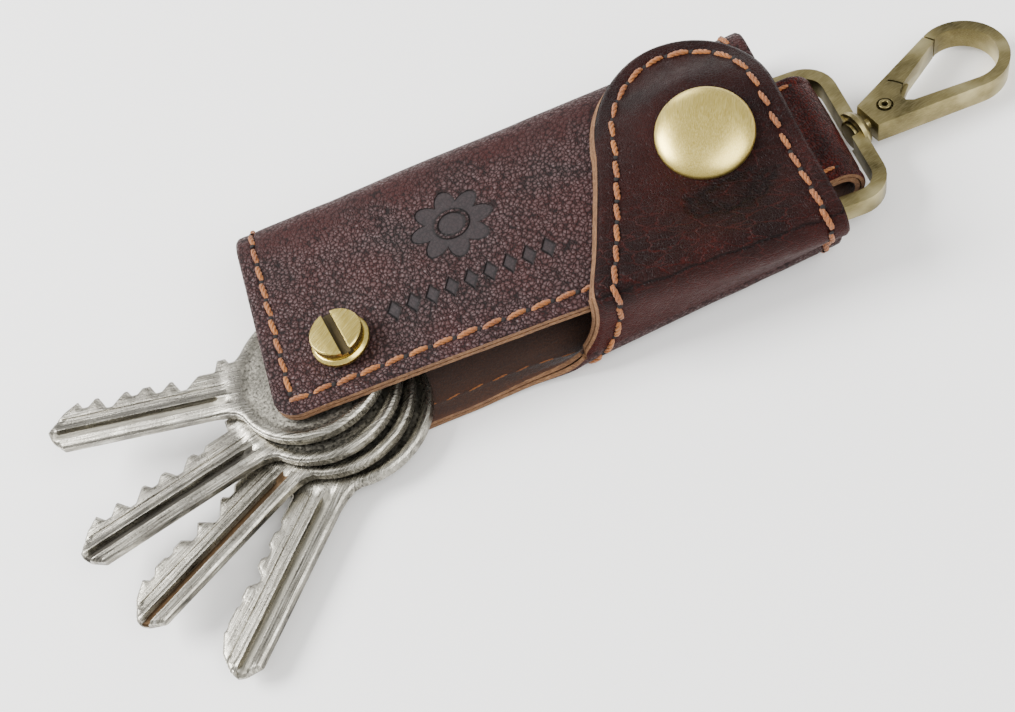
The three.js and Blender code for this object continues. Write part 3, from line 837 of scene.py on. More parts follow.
def awl_hole(settings):
    """Painted shade for the hole where a stitch goes through."""
    material, tree, shader = surface("awl_hole", Roughness=0.9)
    fleck = node(
        tree, "ShaderNodeTexNoise",
        {"Vector": place_pattern(tree), "Scale": per(0.3), **SOFT_NOISE},
    )
    feed(
        tree, shader,
        Base_Color=node(
            tree, "ShaderNodeValToRGB", (fleck,),
            stops=((0.3, settings.hole), (0.8, settings.hide_crease)),
        ),
    )
    return material


def brushed_brass(settings, name, turn, depth=0.006, rough=(0.30, 0.40)):
    """Antique brass plate, satin-brushed one way: pale gold with fine parallel lines."""
    material, tree, shader = surface(name, Metallic=1.0)
    # Brush lines are finer than they show; they are drawn about 0.12 mm wide.
    lines = node(
        tree, "ShaderNodeTexNoise",
        {
            "Vector": place_pattern(tree, (0.045, 1.0, 1.0), turn), "Scale": per(0.12),
            "Detail": 4.0, "Roughness": 0.7,
        },
    )
    bands = node(
        tree, "ShaderNodeTexNoise",
        {"Vector": place_pattern(tree, (0.12, 1.0, 1.0), turn), "Scale": per(1.6), **SOFT_NOISE},
    )
    tone = node(
        tree, "ShaderNodeValToRGB", (lines,),
        stops=((0.1, settings.brass_dark), (0.42, settings.brass), (0.75, settings.brass_light)),
    )
    share = node(tree, "ShaderNodeMapRange", (bands, 0.4, 0.7, 0.0, 0.15))
    tone = node(
        tree, "ShaderNodeMix", {0: share, 6: tone, 7: settings.brass_dark}, data_type="RGBA",
    ).outputs[2]
    rough_map = node(tree, "ShaderNodeMapRange", (lines, 0.3, 0.7, rough[0], rough[1]))
    feed(
        tree, shader, Base_Color=tone, Roughness=rough_map,
        Normal=node(tree, "ShaderNodeBump", {"Height": lines, "Distance": depth * MM}),
    )
    return material


def antique_brass(settings):
    """Cast zinc with tumbled antique brass plate: olive gold, darker where it is stained."""
    material, tree, shader = surface("tumbled_antique_brass", Metallic=1.0)
    where = place_pattern(tree)
    stain = node(
        tree, "ShaderNodeTexNoise",
        {"Vector": where, "Scale": per(9.0), "Detail": 3.0, "Roughness": 0.5},
    )
    rub = node(
        tree, "ShaderNodeTexNoise",
        {
            "Vector": place_pattern(tree, (0.12, 1.0, 1.0), math.radians(16)), "Scale": per(0.18),
            "Detail": 3.0, "Roughness": 0.55,
        },
    )
    tone = node(
        tree, "ShaderNodeValToRGB", (stain,),
        stops=(
            (0.25, settings.antique_dark), (0.5, settings.antique), (0.75, settings.antique_light),
        ),
    )
    share = node(tree, "ShaderNodeMapRange", (rub, 0.4, 0.8, 0.0, 0.2))
    tone = node(
        tree, "ShaderNodeMix", {0: share, 6: tone, 7: settings.antique_light}, data_type="RGBA",
    ).outputs[2]
    rough = node(tree, "ShaderNodeMapRange", (stain, 0.3, 0.7, 0.42, 0.3))
    feed(
        tree, shader, Base_Color=tone, Roughness=rough,
        Normal=node(tree, "ShaderNodeBump", {"Height": rub, "Distance": 0.004 * MM}),
    )
    return material


def nickel_silver(settings, name, turn, stain):
    """Milled nickel silver of a key blade: bright, with fine cutter lines along it."""
    material, tree, shader = surface(name, Metallic=1.0)
    # Cutter lines along the blade, drawn about 0.18 mm wide.
    lines = node(
        tree, "ShaderNodeTexNoise",
        {
            "Vector": place_pattern(tree, (0.03, 1.0, 0.2), turn), "Scale": per(0.18),
            "Detail": 3.0, "Roughness": 0.6,
        },
    )
    fleck = node(
        tree, "ShaderNodeTexNoise",
        {"Vector": place_pattern(tree), "Scale": per(0.45), "Detail": 4.0, "Roughness": 0.7},
    )
    wear = node(
        tree, "ShaderNodeTexNoise",
        {"Vector": place_pattern(tree), "Scale": per(5.0), **SOFT_NOISE},
    )
    tone = node(
        tree, "ShaderNodeValToRGB", (lines,),
        stops=((0.3, settings.nickel_dark), (0.55, settings.nickel), (0.8, settings.nickel_light)),
    )
    share = node(tree, "ShaderNodeMapRange", (fleck, 0.52, 0.72, 0.0, 0.55))
    tone = node(
        tree, "ShaderNodeMix", {0: share, 6: tone, 7: settings.nickel_dark}, data_type="RGBA",
    ).outputs[2]
    tone = node(
        tree, "ShaderNodeMix",
        {0: node(tree, "ShaderNodeMapRange", (wear, 0.42, 0.62, 0.0, 0.5)), 6: tone, 7: stain},
        data_type="RGBA",
    ).outputs[2]
    height = node(
        tree, "ShaderNodeMath",
        (lines, node(tree, "ShaderNodeMath", (fleck, 0.8), operation="MULTIPLY")), operation="ADD",
    )
    rough = node(tree, "ShaderNodeMapRange", (fleck, 0.3, 0.7, 0.2, 0.42))
    feed(
        tree, shader, Base_Color=tone, Roughness=rough,
        Normal=node(tree, "ShaderNodeBump", {"Height": height, "Distance": 0.035 * MM}),
    )
    return material


def cast_nickel(settings):
    """Unpolished face of a key bow: grey, with a fine sand-cast texture."""
    material, tree, shader = surface("sand_textured_nickel", Metallic=1.0)
    where = place_pattern(tree)
    sand = node(
        tree, "ShaderNodeTexNoise",
        {"Vector": where, "Scale": per(0.5), "Detail": 4.0, "Roughness": 0.65},
    )
    wear = node(tree, "ShaderNodeTexNoise", {"Vector": where, "Scale": per(4.0), **SOFT_NOISE})
    tone = node(
        tree, "ShaderNodeValToRGB", (sand,),
        stops=((0.3, settings.nickel_dark), (0.65, settings.nickel)),
    )
    share = node(tree, "ShaderNodeMapRange", (wear, 0.4, 0.65, 0.0, 0.4))
    tone = node(
        tree, "ShaderNodeMix", {0: share, 6: tone, 7: settings.nickel_dark}, data_type="RGBA",
    ).outputs[2]
    feed(
        tree, shader, Base_Color=tone,
        Roughness=node(tree, "ShaderNodeMapRange", (sand, 0.3, 0.7, 0.32, 0.5)),
        Normal=node(tree, "ShaderNodeBump", {"Height": sand, "Distance": 0.07 * MM}),
    )
    return material


def groove_tarnish_and_shade(name, code, turn):
    """Bottom of a milled groove: oxide and pocket grime left by use on the keys; in the screw's slot the
    same material is painted shade.
    """
    material, tree, shader = surface(name, Metallic=0.85, Roughness=0.5)
    lines = node(
        tree, "ShaderNodeTexNoise",
        {
            "Vector": place_pattern(tree, (0.06, 1.0, 1.0), turn), "Scale": per(0.3), "Detail": 4.0,
            "Roughness": 0.7,
        },
    )
    grime_and_shade = tuple(0.4 * c for c in code)
    tone = node(tree, "ShaderNodeValToRGB", (lines,), stops=((0.3, grime_and_shade), (0.7, code)))
    feed(
        tree, shader, Base_Color=tone,
        Normal=node(tree, "ShaderNodeBump", {"Height": lines, "Distance": 0.05 * MM}),
    )
    return material


# ---- Folded strip ---------------------------------------------------------------------


def stack_at(x):
    return lerp(STACK_LEFT, STACK_RIGHT, clamp((x - TAPER_FROM) / (RIGHT - TAPER_FROM)))


def front_edge_at(x):
    return FRONT_EDGE + FRONT_EDGE_SLOPE * max(0, x + 4)


def bottom_edge_at(x):
    return BOTTOM_EDGE + BOTTOM_EDGE_SLOPE * max(0, x - BOTTOM_FROM)


def bezier(points, t):
    a, b, c, d = points
    u = 1 - t
    return tuple(
        p * u ** 3 + 3 * q * t * u * u + 3 * r * t * t * u + s * t ** 3
        for p, q, r, s in zip(a, b, c, d)
    )


def stretch_start(name):
    total = 0.0
    for other, length in STRETCHES:
        if other == name:
            return total
        total += length
    return total


def folded(x, along):
    """Outer surface (y, z) of the folded strip at one x and a length along the strip."""
    stack = stack_at(x)
    radius = stack / 2
    fold_y = TOP_EDGE - radius
    bend_y = bottom_edge_at(x) + BOTTOM_RADIUS
    roll = max(0.001, smooth(ROLL_FROM, ROLL_FULL, x))
    crease_y = front_edge_at(x) - FLAP_GAP - LEATHER
    flap_z = stack + FLAP_GAP + LEATHER
    wall_top = (crease_y + WALL_LEAN_IN, flap_z - CREASE_RISE)
    name = "flap"
    t = along
    for name, length in STRETCHES:
        if t <= length or name == "flap":
            t /= length
            break
        t -= length
    if name == "front":
        return lerp(front_edge_at(x), fold_y, t), stack
    if name == "fold":
        angle = t * math.pi
        return fold_y + radius * math.sin(angle), radius + radius * math.cos(angle)
    if name == "back":
        return lerp(fold_y, bend_y, t), 0.0
    if name == "bend":
        bend_radius = BOTTOM_RADIUS / roll
        angle = roll * t * math.pi / 2
        return bend_y - bend_radius * math.sin(angle), bend_radius - bend_radius * math.cos(angle)
    if name == "wall":
        return lerp(bottom_edge_at(x), wall_top[0], t), lerp(BOTTOM_RADIUS, wall_top[1], t)
    if name == "crease":
        lean = Vector((wall_top[0] - bottom_edge_at(x), wall_top[1] - BOTTOM_RADIUS))
        out = Vector(wall_top) + lean.normalized() * CREASE_PULL
        back = (crease_y + CREASE_RADIUS - CREASE_PULL, flap_z)
        return bezier((wall_top, out, back, (crease_y + CREASE_RADIUS, flap_z)), t)
    return lerp(crease_y + CREASE_RADIUS, FLAP_TIP, t), flap_z


def flap_length_at(x, y):
    """Length along the strip of a point on the flap."""
    low = front_edge_at(x) - FLAP_GAP - LEATHER + CREASE_RADIUS
    return stretch_start("flap") + (y - low) / (FLAP_TIP - low) * STRETCHES[-1][1]


def strip_outline():
    """Outline of the strip laid flat, as (x, length along the strip)."""
    bend = stretch_start("bend")
    lower = bend + 3.6
    middle = (FLAP_LEFT_HIGH + RIGHT) / 2 + 0.6
    points = arc(LEFT + CORNER, CORNER, CORNER, 180, 270, 12)
    points += arc(RIGHT - 1, 1, 1, 270, 360, 4)
    points.append((RIGHT, stretch_start("flap") + 4))
    tip = []
    for i in range(61):
        angle = math.pi * i / 60
        across = math.cos(angle)
        width = (RIGHT - middle) if across > 0 else (middle - FLAP_LEFT_HIGH)
        rise = FLAP_ROUND_FROM + (FLAP_TIP - FLAP_ROUND_FROM) * math.sin(angle) ** 0.91
        x = middle + width * across
        if across <= 0:
            # The left side leans in from its straight part, so the edge has no kink.
            leaned = rise - FLAP_ROUND_FROM
            x += FLAP_LEAN * (leaned - (FLAP_TIP - FLAP_ROUND_FROM) * (1 + across))
        tip.append((x, flap_length_at(x, rise)))
    points += tip
    left = [
        (FLAP_LEFT_HIGH - 0.7, flap_length_at(47, 10.6)), (44.8, flap_length_at(44.8, 5)),
        (41.6, flap_length_at(41.6, -4)), (FLAP_LEFT_LOW + 0.2, stretch_start("flap")),
        (38.5, bend + 17), (37.7, bend + 13.6), (36.3, bend + 10.8), (34.4, bend + 8.6),
        (32.2, bend + 6.8), (29.4, bend + 5.2), (26.4, bend + 4.3), (23, bend + 3.8), (19, lower),
    ]
    points += curved(left, 6)
    points += arc(LEFT + CORNER, lower - CORNER, CORNER, 90, 180, 12)
    return points


def lie(x, along, depth, ease=0.05):
    """A point of the strip at a depth under its outer surface, and the way out."""
    a = Vector(folded(x, along - ease))
    b = Vector(folded(x, along + ease))
    run = (b - a).normalized()
    out = Vector((0, -run.y, run.x))
    y, z = folded(x, along)
    spot = Vector((x, y, z))
    flap = smooth(stretch_start("crease") + 4, stretch_start("flap") + 8, along)
    front = 1 - smooth(28, 36, along)
    # Soft waviness, and the flap easing down on to the front along its free edges.
    lift = 0.14 * wander(*spot, 14, 3.1) + 0.07 * wander(*spot, 5, 7.7)
    ease_down = smooth(12, 0, x - lerp(FLAP_LEFT_LOW, FLAP_LEFT_HIGH, clamp((y + 12) / 25)))
    lift -= flap * (0.42 * ease_down + 0.3 * smooth(16, 29, y))
    # Under the snap the flap leans with the cap.
    over = math.hypot(x - SNAP[0], y - SNAP[1])
    leaning = flap * smooth(19, 6.5, over)
    lift += leaning * (CAP_LIFT + math.tan(math.radians(CAP_TILT)) * (y - SNAP[1]))
    # The front panel bows a little over the keys.
    lift += front * 0.35 * math.exp(-((x - 24) / 26) ** 2 - ((y - 9) / 12) ** 2)
    away = math.hypot(x, y)
    lift -= front * 0.45 * math.exp(-(away / 6.5) ** 2) * (1 if along < 40 else 0)
    # The flap's left edge is cut at a slant, so both layers show from above.
    left = FLAP_LEFT_HIGH
    if y <= FLAP_ROUND_FROM:
        left = lerp(FLAP_LEFT_LOW, FLAP_LEFT_HIGH, clamp((y + 12) / 25))
    slant = smooth(SEAM_LOW - 6, stretch_start("flap"), along) * smooth(14, 2, x - left)
    spot.x -= 0.7 * slant * depth
    spot.y += 0.5 * slant * depth * smooth(FLAP_ROUND_FROM, FLAP_TIP, y)
    return spot + out * (lift - depth), out


SEAM_LOW = stretch_start("wall")
SEAM_MID = stretch_start("wall") + 2.85
STITCH_INSET = 2.9


def strip_edge():
    return Edge(even(strip_outline(), 0.6))


def strip_layers():
    """Flat triangles of the strip, split where its three pieces meet."""
    edge = strip_edge()
    seams = []
    for along in (SEAM_LOW, SEAM_MID):
        seams.append([(x, along) for x in (30 + 0.8 * i for i in range(60))])
    flange = (0.0, stretch_start("back") + (24.95 / 33.15) * 33.3)
    hole = arc(*flange, POST_FLANGE + 0.2, 0, 360, 40)[:-1]
    rings = (0.12, 0.3, 0.55, 1.0, 1.7, 2.3, 2.6, 2.9, 3.2, 3.6, 4.4)
    flat, faces = tessellate(edge, rings, 1.1, lines=seams, loops=[hole])
    groups = {"case": [], "fold": [], "flap": []}
    for face in faces:
        x = sum(flat[i][0] for i in face) / 3
        along = sum(flat[i][1] for i in face) / 3
        name = "case" if along < SEAM_LOW else "fold" if along < SEAM_MID else "flap"
        groups[name].append((face, math.hypot(x - flange[0], along - flange[1]) < POST_FLANGE + 0.18))
    return edge, flat, groups


def ride_strip(obj, name):
    """Attach the case's piece to the case's body; the fold's and flap's pieces only get their transforms
    baked.
    """
    if name == "case":
        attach(obj, "case")
    elif name == "fold":
        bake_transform(obj)
    else:
        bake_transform(obj)


# ---- Stitches ------------------------------------------------------------------------


def stitch_tree(thread, hole):
    """Geometry Nodes: three twisted strands at every point, and dark discs of painted shade for the
    holes they enter.
    """
    tree = bpy.data.node_groups.new("Saddle stitches", "GeometryNodeTree")
    face = tree.interface
    face.new_socket("Geometry", in_out="INPUT", socket_type="NodeSocketGeometry")
    for name in ("Length", "Strand Radius", "Twist Radius", "Turns", "Dip", "Slant"):
        face.new_socket(name, in_out="INPUT", socket_type="NodeSocketFloat")
    face.new_socket("Geometry", in_out="OUTPUT", socket_type="NodeSocketGeometry")
    given = tree.nodes.new("NodeGroupInput").outputs
    half = node(tree, "ShaderNodeMath", (given["Length"], 0.5), operation="MULTIPLY")
    less = node(tree, "ShaderNodeMath", (given["Length"], -0.5), operation="MULTIPLY")
    start = node(tree, "ShaderNodeCombineXYZ", {0: less}).outputs[0]
    end = node(tree, "ShaderNodeCombineXYZ", {0: half}).outputs[0]
    line = node(tree, "GeometryNodeCurvePrimitiveLine", {"Start": start, "End": end}).outputs[0]
    line = node(tree, "GeometryNodeResampleCurve", {"Curve": line, "Count": 13}).outputs[0]
    factor = node(tree, "GeometryNodeSplineParameter").outputs["Factor"]
    from_middle = node(
        tree, "ShaderNodeMath",
        (
            node(
                tree, "ShaderNodeMath",
                (node(tree, "ShaderNodeMath", (factor, 2.0), operation="MULTIPLY"), 1.0),
                operation="SUBTRACT",
            ),
        ),
        operation="ABSOLUTE",
    )
    dip = node(
        tree, "ShaderNodeMath",
        (node(tree, "ShaderNodeMath", (from_middle, 4.0), operation="POWER"), given["Dip"]),
        operation="MULTIPLY",
    )
    taper = node(
        tree, "ShaderNodeMath",
        (
            1.0,
            node(
                tree, "ShaderNodeMath",
                (node(tree, "ShaderNodeMath", (from_middle, 3.0), operation="POWER"), 0.5),
                operation="MULTIPLY",
            ),
        ),
        operation="SUBTRACT",
    )
    round_strand = {"Resolution": 7, "Radius": given["Strand Radius"]}
    circle = node(tree, "GeometryNodeCurvePrimitiveCircle", round_strand)
    strands = node(tree, "GeometryNodeJoinGeometry")
    for k in range(3):
        phase = node(
            tree, "ShaderNodeMath",
            (
                node(tree, "ShaderNodeMath", (factor, given["Turns"]), operation="MULTIPLY"),
                k * math.tau / 3,
            ),
            operation="ADD",
        )
        out = node(tree, "ShaderNodeMath", (given["Twist Radius"], taper), operation="MULTIPLY")
        side = node(
            tree, "ShaderNodeMath",
            (node(tree, "ShaderNodeMath", (phase,), operation="COSINE"), out), operation="MULTIPLY",
        )
        up = node(
            tree, "ShaderNodeMath",
            (
                node(
                    tree, "ShaderNodeMath",
                    (node(tree, "ShaderNodeMath", (phase,), operation="SINE"), out),
                    operation="MULTIPLY",
                ),
                dip,
            ),
            operation="SUBTRACT",
        )
        shift = node(tree, "ShaderNodeCombineXYZ", {1: side, 2: up}).outputs[0]
        moved = node(tree, "GeometryNodeSetPosition", {"Geometry": line, "Offset": shift}).outputs[0]
        tube = node(tree, "GeometryNodeCurveToMesh",
                    {"Curve": moved, "Profile Curve": circle.outputs[0], "Fill Caps": True}).outputs[0]
        tree.links.new(tube, strands.inputs[0])
    along, up = (
        node(tree, "GeometryNodeInputNamedAttribute", {0: name}, data_type="FLOAT_VECTOR").outputs[0]
        for name in ("along", "up")
    )
    first = node(tree, "FunctionNodeAlignRotationToVector", {"Vector": up}, axis="Z")
    turn = node(tree, "FunctionNodeAlignRotationToVector",
                {"Rotation": first.outputs[0], "Vector": along}, axis="X", pivot_axis="Z").outputs[0]
    swing = node(tree, "FunctionNodeRandomValue", {"Seed": 4}, data_type="FLOAT")
    swing.inputs[2].default_value = 0.6
    swing.inputs[3].default_value = 1.4
    slant = node(tree, "ShaderNodeMath", (swing.outputs[1], given["Slant"]), operation="MULTIPLY")
    lean = node(tree, "ShaderNodeCombineXYZ", {2: slant}).outputs[0]
    leaning = node(tree, "FunctionNodeEulerToRotation", {0: lean}).outputs[0]
    turned = node(tree, "FunctionNodeRotateRotation", (turn, leaning), rotation_space="LOCAL")
    size = node(tree, "FunctionNodeRandomValue", {"Seed": 9}, data_type="FLOAT")
    size.inputs[2].default_value = 0.93
    size.inputs[3].default_value = 1.06
    sewn = node(tree, "GeometryNodeInstanceOnPoints",
                {"Points": given["Geometry"], "Instance": strands.outputs[0], "Rotation": turned,
                 "Scale": size.outputs[1]}).outputs[0]
    threads = node(tree, "GeometryNodeRealizeInstances", {0: sewn}).outputs[0]
    threads = node(tree, "GeometryNodeSetMaterial", {"Geometry": threads, "Material": thread}).outputs[0]
    # Dark flattened discs sunk at the stitch ends: painted shade standing in for the holes.
    hole_shade_disc = node(tree, "GeometryNodeMeshUVSphere", {"Segments": 10, "Rings": 6, "Radius": 1.0}).outputs[0]
    flat_scale = node(
        tree, "ShaderNodeCombineXYZ",
        {
            0: node(tree, "ShaderNodeMath", (given["Strand Radius"], 2.1), operation="MULTIPLY"),
            1: node(tree, "ShaderNodeMath", (given["Strand Radius"], 1.8), operation="MULTIPLY"),
            2: node(tree, "ShaderNodeMath", (given["Strand Radius"], 0.7), operation="MULTIPLY"),
        },
    ).outputs[0]
    reach = node(tree, "ShaderNodeMath", (given["Length"], 0.56), operation="MULTIPLY")
    sink = node(tree, "ShaderNodeMath", (given["Twist Radius"], -0.75), operation="MULTIPLY")
    spot = node(tree, "ShaderNodeCombineXYZ", {0: reach, 2: sink}).outputs[0]
    sunk = {"Geometry": hole_shade_disc, "Translation": spot, "Scale": flat_scale}
    hole_shade_disc = node(tree, "GeometryNodeTransform", sunk).outputs[0]
    hole_shade_discs = node(tree, "GeometryNodeInstanceOnPoints",
                {"Points": given["Geometry"], "Instance": hole_shade_disc, "Rotation": turn}).outputs[0]
    hole_shade_discs = node(tree, "GeometryNodeRealizeInstances", {0: hole_shade_discs}).outputs[0]
    hole_shade_discs = node(tree, "GeometryNodeSetMaterial", {"Geometry": hole_shade_discs, "Material": hole}).outputs[0]
    both = node(tree, "GeometryNodeJoinGeometry")
    tree.links.new(threads, both.inputs[0])
    tree.links.new(hole_shade_discs, both.inputs[0])
    smoothed = node(tree, "GeometryNodeSetShadeSmooth", {"Geometry": both.outputs[0]}).outputs[0]
    node(tree, "NodeGroupOutput", {0: smoothed})
    return tree


def sew(name, tree, spots, sizes):
    """A plain mesh of stitches at (centre, along, up) spots, sizes in mm by input name."""
    mesh = bpy.data.meshes.new(name)
    mesh.from_pydata([s[0] * MM for s in spots], [], [])
    for key, index in (("along", 1), ("up", 2)):
        data = mesh.attributes.new(key, "FLOAT_VECTOR", "POINT")
        data.data.foreach_set("vector", [c for s in spots for c in s[index]])
    obj = bpy.data.objects.new(name, mesh)
    bpy.context.scene.collection.objects.link(obj)
    stitches = obj.modifiers.new("Stitches", "NODES")
    stitches.node_group = tree
    for item in tree.interface.items_tree:
        if item.in_out == "INPUT" and item.name in sizes:
            stitches[item.identifier] = sizes[item.name]
    plain(obj)
    return obj


def seam_spots(path, pitch, place, start=0.5):
    """Stitch centres along a flat path; place turns a flat point into a spot and normal."""
    line = even(path, pitch / 8, closed=True)
    spots = []
    count = len(line)
    total = int(count / 8)
    for k in range(total):
        i = round((k + start) * count / total) % count
        here, up = place(*line[i])
        before = place(*line[(i - 2) % count])[0]
        after = place(*line[(i + 2) % count])[0]
        spots.append((here, (after - before).normalized(), up, line[i]))
    return spots


# ---- Keys -------------------------------------------------------------------------------


def key_outline(cuts):
    """Outline of a key along +X with its bow round the post hole."""
    points = arc(*BOW, BOW_RADIUS, 31, 329, 96)
    points += [(18.4, -4.0), (19.2, -3.0), (20.2, -2.9), (21.0, -4.0), (22.4, -4.0), (22.7, BLADE_TOP)]
    for i, depth in enumerate(cuts):
        x = 28 + i * 4.3
        run = depth * 0.9
        for point in ((x - 0.5 - run, BLADE_TOP), (x - 0.5, BLADE_TOP + depth),
                      (x + 0.5, BLADE_TOP + depth), (x + 0.5 + run * 0.8, BLADE_TOP)):
            if point[0] > points[-1][0] + 0.05:
                points.append(point)
    points += [
        (BLADE_END - 2.4, BLADE_TOP + 1.6), (BLADE_END - 0.5, BLADE_TOP + 4),
        (BLADE_END, BLADE_TOP + 5.3), (BLADE_END - 0.7, BLADE_BACK - 1.8),
        (BLADE_END - 2.8, BLADE_BACK), (22.5, BLADE_BACK), (20.2, BLADE_BACK + 0.25),
        (18.6, BLADE_BACK + 0.75),
    ]
    return points


def key_relief(edge, u, v):
    """How far the upper and lower faces lie under the blank's faces at a point."""
    d = edge.distance(u, v)
    from_bow = math.hypot(u - BOW[0], v - BOW[1])
    from_hole = math.hypot(u, v) - KEY_HOLE
    rounding = 0.34 * (1 - smooth(0, 0.5, d)) ** 1.4 + 0.12 * (1 - smooth(0, 0.3, from_hole))
    recess = smooth(BOW_RADIUS - 1.35, BOW_RADIUS - 1.75, from_bow) * smooth(1.4, 1.8, from_hole)
    neck = smooth(17.2, 18.6, u)
    cast = 0.34 * recess * (1 - neck)
    end = smooth(18.6, 23.0, u)
    blade = smooth(20.6, 21.0, u)
    low = 4.1 - 0.95 * end
    groove = 0.85 * end * smooth(low, low + 0.22, v) * (1 - smooth(4.65, 4.85, v))
    milled = 0.28 * blade * smooth(2.6, 2.35, v)
    line = 0.2 * blade * smooth(0.9, 1.0, v) * smooth(1.3, 1.2, v)
    outer = 0.3 * end * smooth(5.15, 5.75, v)
    top = rounding + cast + max(groove, outer) + milled + line
    under = rounding + cast + 0.7 * end * smooth(1.4, 1.6, v) * smooth(2.7, 2.5, v)
    return top, under


def key_mesh(place, name, turn, cuts, metals):
    """One key as a relief slab turned to its resting direction."""
    low = KEY_FLOOR + (len(KEYS) - 1 - place) * KEY_PITCH
    high = low + KEY_THICK
    edge = Edge(even(key_outline(cuts), 0.32))
    lines = []
    for v in (0.92, 1.02, 1.2, 1.3, 2.36, 2.6, 3.15, 3.4, 4.66, 4.85, 5.15, 5.7):
        run = [(18.8 + 0.7 * i, v) for i in range(46)]
        lines.append([p for p in run if edge.distance(*p) > 0.55 and p[0] < BLADE_END - 1.2])
    circles = [arc(0, 0, KEY_HOLE, 0, 360, 44)[:-1]]
    for radius in (BOW_RADIUS - 1.32, BOW_RADIUS - 1.78):
        circles.append(arc(*BOW, radius, 36, 324, 110))
    for radius in (KEY_HOLE + 1.4, KEY_HOLE + 1.8):
        circles.append(arc(0, 0, radius, 0, 360, 48)[:-1])
    flat, faces = tessellate(
        edge, (0.07, 0.18, 0.34, 0.5), 0.75,
        lines=[*lines, *circles[1:3]], loops=[circles[0], *circles[3:]],
    )
    faces = [
        f for f in faces
        if math.hypot(*(sum(flat[i][k] for i in f) / 3 for k in (0, 1))) > KEY_HOLE
    ]
    rotation = Matrix.Rotation(math.radians(turn), 3, "Z")

    def spot(u, v):
        top, under = key_relief(edge, u, v)
        worn = 0.03 * wander(u, v, place, 3.0, 5.0)
        return rotation @ Vector((u, v, high - top + worn)), rotation @ Vector((u, v, low + under))

    def metal(u, v):
        in_bow = math.hypot(u - BOW[0], v - BOW[1]) < BOW_RADIUS - 1.55 and u < 18
        if in_bow:
            return 1, 1
        in_groove = 3.42 < v < 4.68 and 20.5 < u < BLADE_END - 0.3
        return (3 if in_groove else 0), 0

    return slab(name + "_blank", flat, faces, spot, metals, metal, sharp=50)


# ---- Settings -----------------------------------------------------------------------------


class LeatherSettings(bpy.types.PropertyGroup):
    hide_dark: colour("Hide, dark", "#160403", "Dark tone of the pebbled hide")
    hide_red: colour("Hide, red", "#2a0806", "Burgundy tone of the pebbled hide")
    # Painted sheen: the grey highlight painted on the raised pebbles.
    hide_bloom: colour("Hide, pebble tops", "#5a4646", "Grey bloom on the raised pebbles")
    hide_stretched: colour("Hide, stretched", "#2c0806", "Red of the hide pulled over the fold")
    # Painted shade for creases, scale gaps, stitch holes and the rim of the pressed mark.
    hide_crease: colour("Hide, creases", "#040101", "Colour deep in creases")
    flap_dark: colour("Flap, dark", "#140504", "Dark tone of the waxed flap")
    flap_brown: colour("Flap, brown", "#250a07", "Brown tone of the waxed flap")
    flap_red: colour("Flap, red", "#3a0e09", "Red that shows where the flap is creased or bent")
    tab_dark: colour("Tab, dark", "#260805", "Dark tone of the tab's hide")
    tab_red: colour("Tab, red", "#451008", "Red tone of the tab's hide")
    mark: colour("Pressed mark", "#242021", "Smooth grey-black of the pressed ornament")
    edge: colour("Cut edge", "#6f4c2e", "Tan of the cut leather edge")
    edge_dark: colour("Cut edge, dark", "#3a2113", "Darker fibres of the cut edge")
    edge_light: colour("Cut edge, light", "#a17c56", "Lighter fibres of the cut edge")
    suede: colour("Suede", "#462612", "Brown of the suede lining")
    suede_dark: colour("Suede, dark", "#241108", "Nap of the suede lying the other way")


class StitchSettings(bpy.types.PropertyGroup):
    thread: colour("Thread", "#8a4c17", "Orange-tan of the thread")
    thread_dark: colour("Thread, dark", "#3f1f06", "Shade between the thread's fibres")
    thread_light: colour("Thread, light", "#a3641f", "Lighter lengths of thread")
    # Painted shade inside a stitch hole.
    hole: colour("Stitch hole", "#0d0605", "Inside of a stitch hole")
    pitch: FloatProperty(name="Pitch", description="Distance from one stitch to the next",
                         default=3.95 * MM, unit="LENGTH", precision=5)
    length: FloatProperty(name="Length", description="Visible length of one stitch",
                          default=3.15 * MM, unit="LENGTH", precision=5)
    strand: FloatProperty(name="Strand radius", description="Radius of one of the three strands",
                          default=0.235 * MM, unit="LENGTH", precision=6)
    turns: FloatProperty(name="Twist", description="Turn of the strands along one stitch",
                         default=math.radians(430), subtype="ANGLE")


class MetalSettings(bpy.types.PropertyGroup):
    brass: colour("Brass", "#c8b25e", "Satin brushed brass plate")
    brass_dark: colour("Brass, dark", "#8f783a", "Darker brush lines")
    brass_light: colour("Brass, light", "#ead98c", "Lighter brush lines")
    antique: colour("Antique brass", "#827750", "Tumbled antique brass plate")
    antique_dark: colour("Antique brass, dark", "#3d3620", "Stained antique brass")
    antique_light: colour("Antique brass, rubbed", "#cdc192", "Rubbed antique brass")
    nickel: colour("Nickel silver", "#9d998d", "Milled nickel silver")
    nickel_dark: colour("Nickel silver, dark", "#3a3834", "Worn and shaded nickel silver")
    nickel_light: colour("Nickel silver, light", "#efece2", "Bright cutter lines")
    # Painted shade for the walls and floor of the screw's slot.
    slot: colour("Screw slot", "#4a3f26", "Dull metal inside the screw's slot")


class StageSettings(bpy.types.PropertyGroup):
    floor: colour("Floor", "#f6f5f3", "Plain pale floor")
    lens: FloatProperty(name="Lens", description="Camera focal length", default=54.178, unit="CAMERA")
    key_power: FloatProperty(name="Key light", description="Power of the large soft light", default=1.15,
                             unit="POWER")
    world: FloatProperty(
        name="Sky", description="Strength of the even light from all round", default=0.95,
    )


def leather_settings():
    return bpy.context.scene.organiser_leather


def stitch_settings():
    return bpy.context.scene.organiser_stitches


def metal_settings():
    return bpy.context.scene.organiser_metal


class Mixed:
    """Settings from two groups read as one."""

    def __init__(self, *groups):
        self.groups = groups

    def __getattr__(self, name):
        for group in self.groups:
            if name in group.bl_rna.properties:
                return getattr(group, name)
        raise AttributeError(name)


# ---- Operators ------------------------------------------------------------------------------


